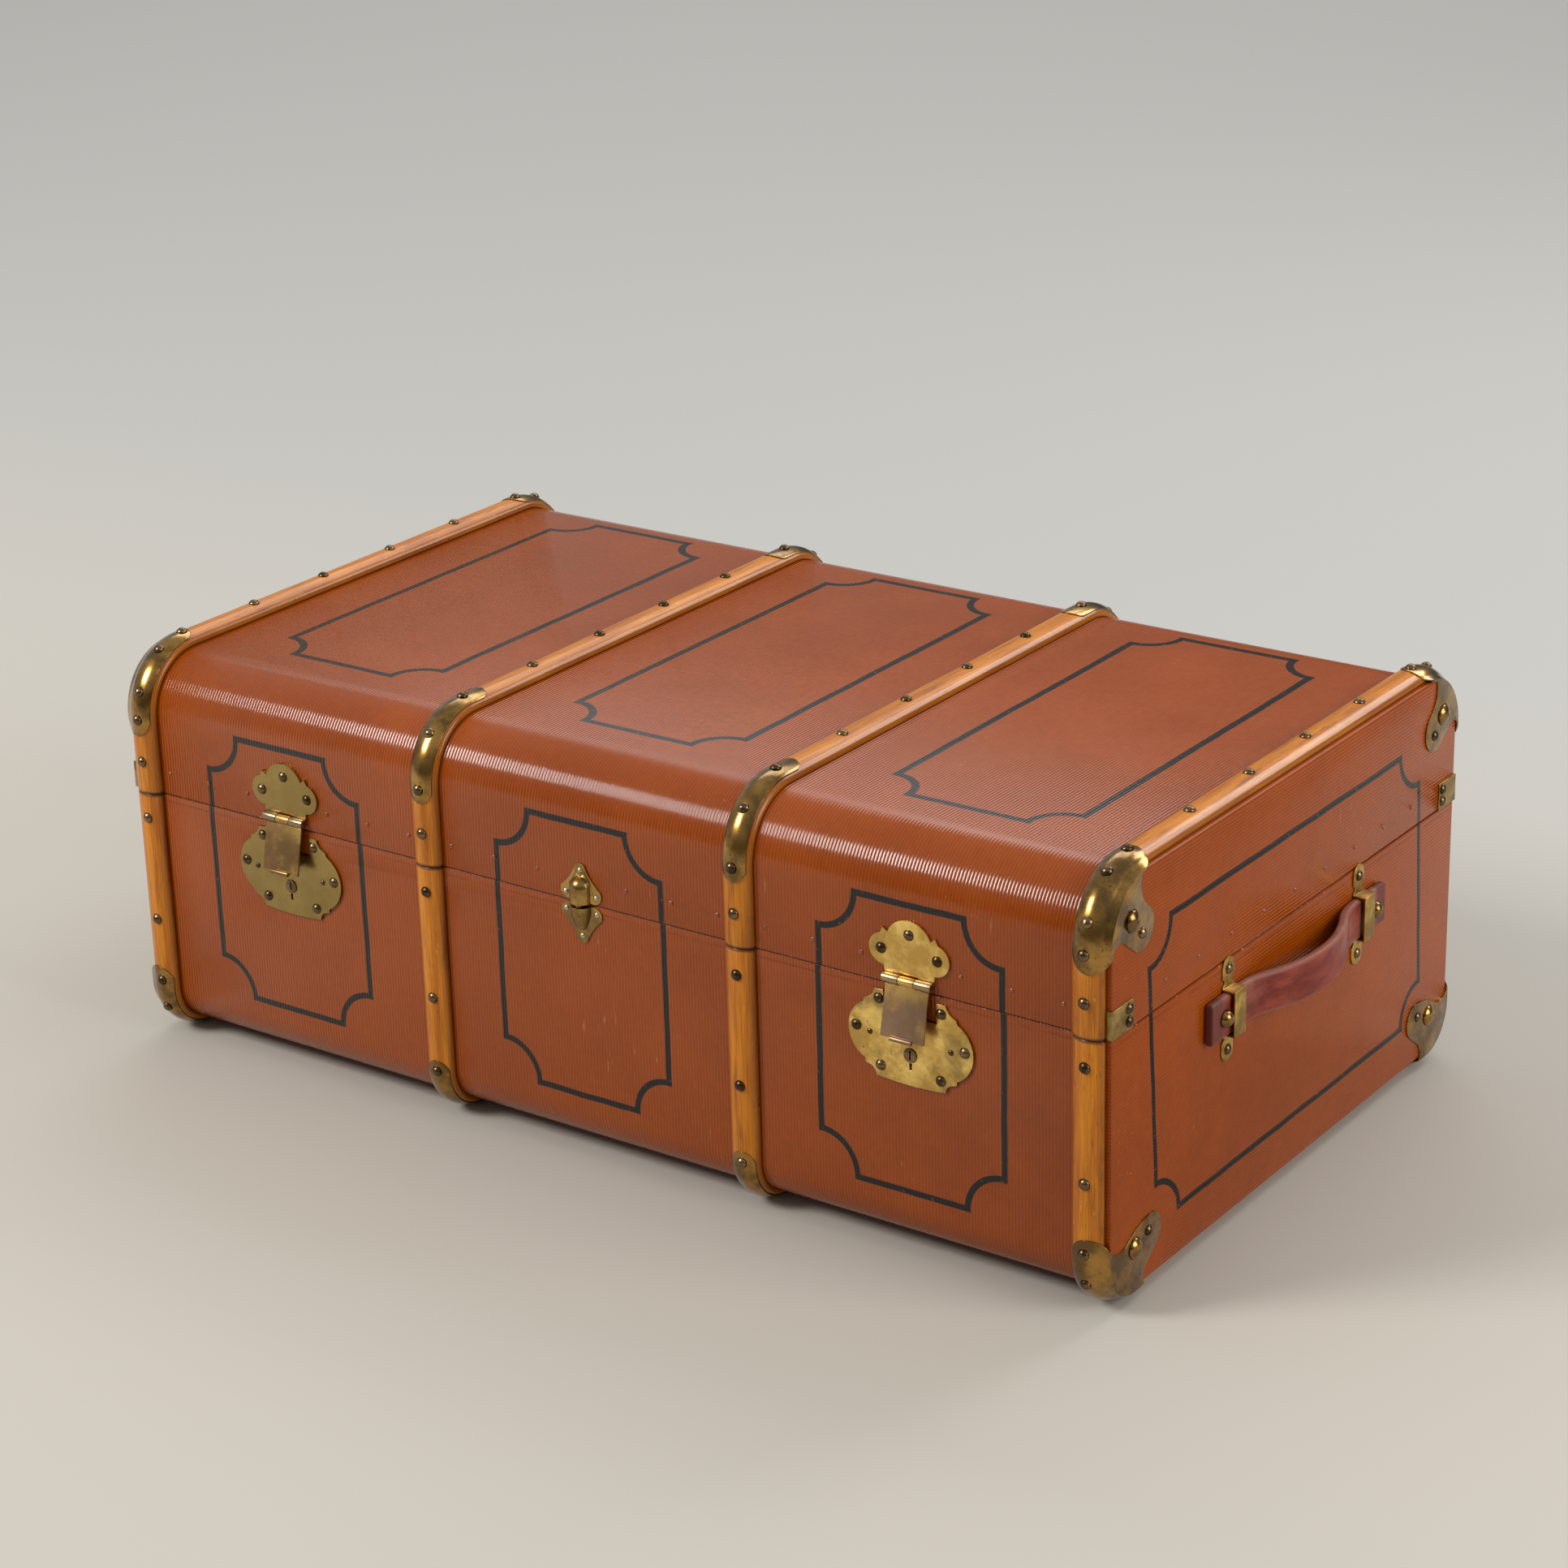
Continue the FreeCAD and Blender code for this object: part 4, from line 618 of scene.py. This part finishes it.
# %% Fittings
socket_angle = 20
rim_segments = 3
fittings = [
    (("corner_cap", "strap_caps"), cap_brass, "aged_brass", 0.0004),
    (("lock_plate", "hasp_lid_plate"), plate_brass, "aged_brass", 0.0006),
    (("hasp_left", "hasp_right"), hasp_brass, "aged_brass", 0.0005),
    (("dowel_tongue",), dowel_bronze, "aged_brass", 0.0005),
    (("dowel_socket",), dowel_bronze, "aged_brass", 0),
    (("key_plug",), nail_bronze, "aged_brass", 0.0003),
    (("handle_loops",), loop_brass, "aged_brass", 0.0006),
    (("end_clamps",), dull_brass, "aged_brass", 0.0005),
    (("studs",), cap_brass, "aged_brass", 0),
    (("nails",), nail_bronze, "dark_steel", 0),
    (("pins", "bolt", "case"), dark_steel, "dark_steel", 0),
    (("leaves",), dark_steel, "dark_steel", 0.0003),
    (("rivets",), rivet_paint, "covered_board", 0),
]
dressed = []
for words, finish, slot, width in fittings:
    for node in frame["nodes"]:
        if any(word in node for word in words):
            sharp = socket_angle if node == "dowel_socket" else sharp_angle
            dressed.append(rolled(node, finish, width, rim_segments, sharp))
print(len(dressed), "fittings dressed")

# %% [markdown]
# ## Folds of the end clamps
# Each clamp at the ends of the lid's edge is a strip bent round the corner, and its short leg goes in under
# the end hoop. The strip could be extruded round the corner in one piece, but only the leg is missing from
# the model. So the leg is a cube set to size between the hoop's side and the clamp.

# %% Clamp folds
clamp_low, clamp_high = (Vector(corner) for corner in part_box("lid_end_clamps"))
hoop_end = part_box("lid_hoop_right_end")[1][0]
fold_thick = 0.0012
fold_edge = 0.0004
fold_size = Vector((clamp_high.x - hoop_end, fold_thick, clamp_high.z - clamp_low.z))
fold_level = (clamp_high.z + clamp_low.z) / 2
work = bmesh.new()
for end in (-1, 1):
    for face in (-1, 1):
        across = end * (clamp_high.x + hoop_end) / 2
        outward = face * (half_depth + fold_thick / 2)
        place = Matrix.Translation((across, outward, fold_level)) @ Matrix.Diagonal(fold_size).to_4x4()
        bmesh.ops.create_cube(work, size=1, matrix=place)
round_edges(work, sharp_edges(work, sharp_angle), fold_edge, 2)
new_piece("clamp_folds", work, dull_brass, "lid", [])
print("clamp folds", f"{fold_size.x * 1000:.1f} mm wide")

# %% [markdown]
# ## Shells and linings
# The shells keep their CAD shape. Where an end board meets the outer skin its cloth is turned over a
# rounded edge, which shows as a glossy line, so the ends get a wider bevel than the edges of the wraps.
# The lip ring is out of sight until the lid is up and keeps its edges. The linings stay the CAD's own
# meshes, and only their material is exchanged.

# %% Shells
wrap_edge = 0.0005
end_edge = 0.0016
for node in ("lid_wrap", "base_wrap"):
    rolled(node, shell_paint, wrap_edge)
for node in ("lid_left_end", "lid_right_end", "base_left_end", "base_right_end"):
    rolled(node, end_paint, end_edge, 3)
rolled("lid_lip_ring", end_paint, 0)
for node in ("lid_lining", "base_lining"):
    frame["nodes"][node].data.materials.clear()
    frame["nodes"][node].data.materials.append(cloth_finish)
print("shells and linings dressed")

# %% [markdown]
# ## Carrying a section along a path
# Hoops and straps are both a section carried along a bent path. A curve with a bevel object would do it
# too, but two operators keep the section exact: `extrude` pulls the loop of edges along a straight run,
# and `spin` turns it round a bend. At the end both open loops are closed with a face.

# %% Pull and turn
def new_edges(parts):
    return [part for part in parts if isinstance(part, bmesh.types.BMEdge)]


def pull(work, edges, step):
    """Extrudes a loop of edges by a step and gives the new loop."""
    made = bmesh.ops.extrude_edge_only(work, edges=edges)["geom"]
    moved = [part for part in made if isinstance(part, bmesh.types.BMVert)]
    bmesh.ops.translate(work, verts=moved, vec=step)
    return new_edges(made)


def turn(work, edges, centre, axis, angle, steps):
    """Spins a loop of edges round a centre and gives the last loop."""
    made = bmesh.ops.spin(work, geom=edges, cent=centre, axis=axis, angle=angle, steps=steps,
                          use_merge=False)
    return new_edges(made["geom_last"])


def close_ends(work, *loops):
    for loop in loops:
        bmesh.ops.contextual_create(work, geom=loop)
    bmesh.ops.recalc_face_normals(work, faces=work.faces)


print("pull and turn ready")

# %% [markdown]
# ## The path of a hoop
# Each hoop is one strip of wood, steamed and bent round a half of the trunk. Its path goes up the front,
# round a bend, across the crown and down the back. A curve object could hold the path, but the pieces
# of it are just straight runs and quarter turns. The grain has to follow the bend, so the same class also
# tells how far round the half a point lies.

# %% Path of a hoop
bends = {"lid": 0.053, "base": 0.036}
bend_steps = 18
crown_steps = 12


class Half:
    """The path that the hoops of one half follow: up from the seam, round a bend and across the crown."""

    def __init__(self, name, up, edge, crown):
        self.name, self.up, self.edge = name, up, edge
        self.bend = bends[name]
        self.flat = half_depth - self.bend
        self.centre = crown - up * self.bend

    def girth(self, y, z):
        """How far round the half a point lies, from the middle of its crown."""
        side = 1 if y > 0 else -1
        out, rise = abs(y) - self.flat, (z - self.centre) * self.up
        if out <= 0:
            return side * abs(y)
        if rise <= 0:
            return side * (self.flat + self.bend * math.pi / 2 - rise)
        return side * (self.flat + self.bend * math.atan2(out, rise))

    def carry(self, work, section):
        """Carries a section from the front edge over the crown to the back edge."""
        axis = (-self.up, 0, 0)
        end = pull(work, section, (0, 0, self.centre - self.edge))
        end = turn(work, end, (0, -self.flat, self.centre), axis, math.pi / 2, bend_steps)
        for _ in range(crown_steps):
            end = pull(work, end, (0, 2 * self.flat / crown_steps, 0))
        end = turn(work, end, (0, self.flat, self.centre), axis, math.pi / 2, bend_steps)
        return pull(work, end, (0, 0, self.edge - self.centre))


halves = [Half("lid", 1, lid_low.z, shell_top), Half("base", -1, base_high.z, base_low.z)]
print("halves:", ", ".join(f"{half.name} bend {half.bend * 1000:.0f} mm" for half in halves))

# %% [markdown]
# ## Bentwood hoops
# A hoop has a crowned face. The crown is an arc spun from one point, two feet and the edges between them
# close the section, and the path carries it. A Bevel modifier could soften the edges, but here the bevel is
# part of the mesh, so that the UV map, made last, covers it too. Each point's distance along the strip
# goes into that map, with a shift for each hoop so that no two have the same grain.

# %% Hoops
hoop_thickness = {"lid": 0.010, "base": 0.009}
hoop_side = 0.004
hoop_edge = 0.0014
arc_steps = 14
grain_shift = 3.7
hoop_names = ("left_end", "left_inner", "right_inner", "right_end")


def make_hoop(half, name):
    node = f"{half.name}_hoop_{name}"
    low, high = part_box(node)
    middle, width, thick = (low[0] + high[0]) / 2, high[0] - low[0], hoop_thickness[half.name]
    sag = thick - hoop_side
    radius = (width * width / 4 + sag * sag) / (2 * sag)
    sweep = 2 * math.asin(width / 2 / radius)
    work = bmesh.new()
    first = work.verts.new((middle - width / 2, -half_depth - hoop_side, half.edge))
    bmesh.ops.spin(work, geom=[first], cent=(middle, -half_depth - thick + radius, half.edge),
                   axis=(0, 0, 1), angle=sweep, steps=arc_steps)
    crown = sorted(work.verts, key=lambda vert: vert.co.x)
    feet = [work.verts.new((vert.co.x, -half_depth, half.edge)) for vert in (crown[0], crown[-1])]
    for pair in ((crown[0], feet[0]), feet, (feet[1], crown[-1])):
        work.edges.new(pair)
    section = list(work.edges)
    close_ends(work, section, half.carry(work, section))
    round_edges(work, sharp_edges(work, 35), hoop_edge, 3)
    grain = work.loops.layers.uv.new("grain")
    for face in work.faces:
        for corner in face.loops:
            place = corner.vert.co
            corner[grain].uv = (half.girth(place.y, place.z) + middle * grain_shift, place.x)
    return new_piece("wood_" + node, work, wood_finish, half.name, [node])


hoops = [make_hoop(half, name) for half in halves for name in hoop_names]
print(len(hoops), "hoops of", len(hoops[0].data.polygons), "faces")

# %% [markdown]
# ## Leather handles
# A handle is one thick strap that lies flat under its two loops and bows out between them. A cloth
# simulation could bend it, but leather this thick keeps its shape. Its section is a small circle pulled
# apart into four rounded corners. The bow is three bends, out, round and back in, so the section is
# pulled along the flat end and turned three times. The left strap is the right one mirrored.

# %% Handles
strap_thick = 0.008
strap_reach = 0.098
strap_round = 0.003
strap_end_edge = 0.0015
outer_share = 0.36
corner_points = 24
bow = strap_high.x - strap_low.x - strap_thick
bow_turn = 2 * math.atan(bow / strap_reach)
bow_radius = strap_reach / math.sin(bow_turn)
outer_bend = bow_radius * outer_share
middle_bend = bow_radius * (1 - outer_share)
strap_middle = strap_low.x + strap_thick / 2
strap_flat = strap_high.y - strap_reach


def strap_section(work):
    """A closed loop of edges, a rectangle with round corners, at the strap's front end."""
    place = Matrix.Rotation(math.pi / 2, 4, "X") @ Matrix.Rotation(math.pi / corner_points, 4, "Z")
    ring = bmesh.ops.create_circle(work, cap_ends=False, segments=corner_points, radius=strap_round,
                                   matrix=place)["verts"]
    for vert in ring:
        vert.co.x += math.copysign(strap_thick / 2 - strap_round, vert.co.x) + strap_middle
        vert.co.z += math.copysign(strap_width / 2 - strap_round, vert.co.z) + handle_level
        vert.co.y = strap_low.y
    return list(work.edges)


def make_strap(name, side):
    work = bmesh.new()
    section = strap_section(work)
    end = pull(work, section, (0, strap_flat, 0))
    end = turn(work, end, (strap_middle + outer_bend, -strap_reach, 0), (0, 0, -1), bow_turn, 10)
    end = turn(work, end, (strap_middle + bow - middle_bend, 0, 0), (0, 0, 1), 2 * bow_turn, 24)
    end = turn(work, end, (strap_middle + outer_bend, strap_reach, 0), (0, 0, -1), bow_turn, 10)
    end = pull(work, end, (0, strap_flat, 0))
    bmesh.ops.scale(work, verts=work.verts, vec=(side, 1, 1))
    close_ends(work, section, end)
    round_edges(work, sharp_edges(work, 60), strap_end_edge, 3)
    node = "handle_strap_" + name
    return new_piece("leather_" + node, work, leather_finish, body_of_node[node], [node])


straps = [make_strap("left", -1), make_strap("right", 1)]
print(len(straps), "straps,", f"bow {bow * 1000:.1f} mm, turned {math.degrees(bow_turn):.1f} degrees")

# %% [markdown]
# ## Floor
# The trunk stands on a wide pale floor, a single large face. A curved backdrop would also do, but the
# camera looks down and sees only the floor. Its colour is warmer near the trunk, and far behind it is
# painted a little darker and greyer: painted shade for the light falling off with distance.

# %% Floor
floor_half = 40
floor_finish, floor_shader, floor_place = new_finish("studio_floor")
near_floor = floor_place.noise(0.6, 3).blend(paint(186, 180, 168), paint(191, 185, 175))
# Far behind the trunk the floor is painted darker and greyer: painted shade for the light falling off.
floor_far_shade = floor_place.parts()[1].fade(-0.4, 1.6)
join(floor_shader.inputs["Base Color"], floor_far_shade.blend(near_floor, paint(179, 178, 174)))
floor_shader.inputs["Roughness"].default_value = 0.8
work = bmesh.new()
bmesh.ops.create_grid(work, x_segments=1, y_segments=1, size=floor_half)
floor_mesh = bpy.data.meshes.new("floor")
work.to_mesh(floor_mesh)
work.free()
floor = bpy.data.objects.new("floor", floor_mesh)
floor_mesh.materials.append(floor_finish)
bpy.context.scene.collection.objects.link(floor)
print(f"floor {2 * floor_half} m wide")

# %% [markdown]
# ## Light
# A large soft lamp at the front left draws the white band along the lid's bend. One at the back right
# lines the top edges and throws a faint shadow forwards, and a broad one lights the right end. A wide lamp
# behind keeps the far floor as pale as the near. The rest could be filled by more lamps, but the world
# does it without shadows; it is darker where the covering would mirror it.

# %% Light
def soft_light(name, place, aim, size, power):
    data = bpy.data.lights.new(name, "AREA")
    data.shape = "RECTANGLE"
    data.size, data.size_y = size
    data.energy = power
    lamp = bpy.data.objects.new(name, data)
    bpy.context.scene.collection.objects.link(lamp)
    lamp.location = place
    lamp.rotation_mode = "QUATERNION"
    lamp.rotation_quaternion = (Vector(aim) - Vector(place)).to_track_quat("-Z", "Y")


trunk_middle = (0, 0, 0.2)
soft_light("key", (-3.0, -3.6, 3.7), (-3.0, 0, 0.2), size=(2.4, 1.7), power=255)
soft_light("back", (1.0, 3.0, 2.6), trunk_middle, size=(1.4, 1.4), power=36)
soft_light("fill", (4.2, 0.3, 2.0), trunk_middle, size=(2.4, 2.4), power=108)
soft_light("far", (-3.0, 5.5, 6.0), (-3.0, 5.5, 0), size=(6, 4), power=185)

world = bpy.data.worlds.new("studio")
bpy.context.scene.world = world
world.use_nodes = True
world_place = world.node_tree.nodes.new("ShaderNodeTexCoord").outputs["Generated"]
sky_x, _, sky_z = Wire(world.node_tree, world_place).parts()
horizon = sky_x.fade(-0.4, -0.8).blend(paint(96, 95, 94), paint(172, 171, 169))
sky = sky_z.fade(0.1, 0.8).blend(horizon, paint(192, 191, 189))
join(world.node_tree.nodes["Background"].inputs["Color"], sky)
bpy.context.scene.view_settings.view_transform = "Standard"
print("lamps:", len(bpy.data.lights))
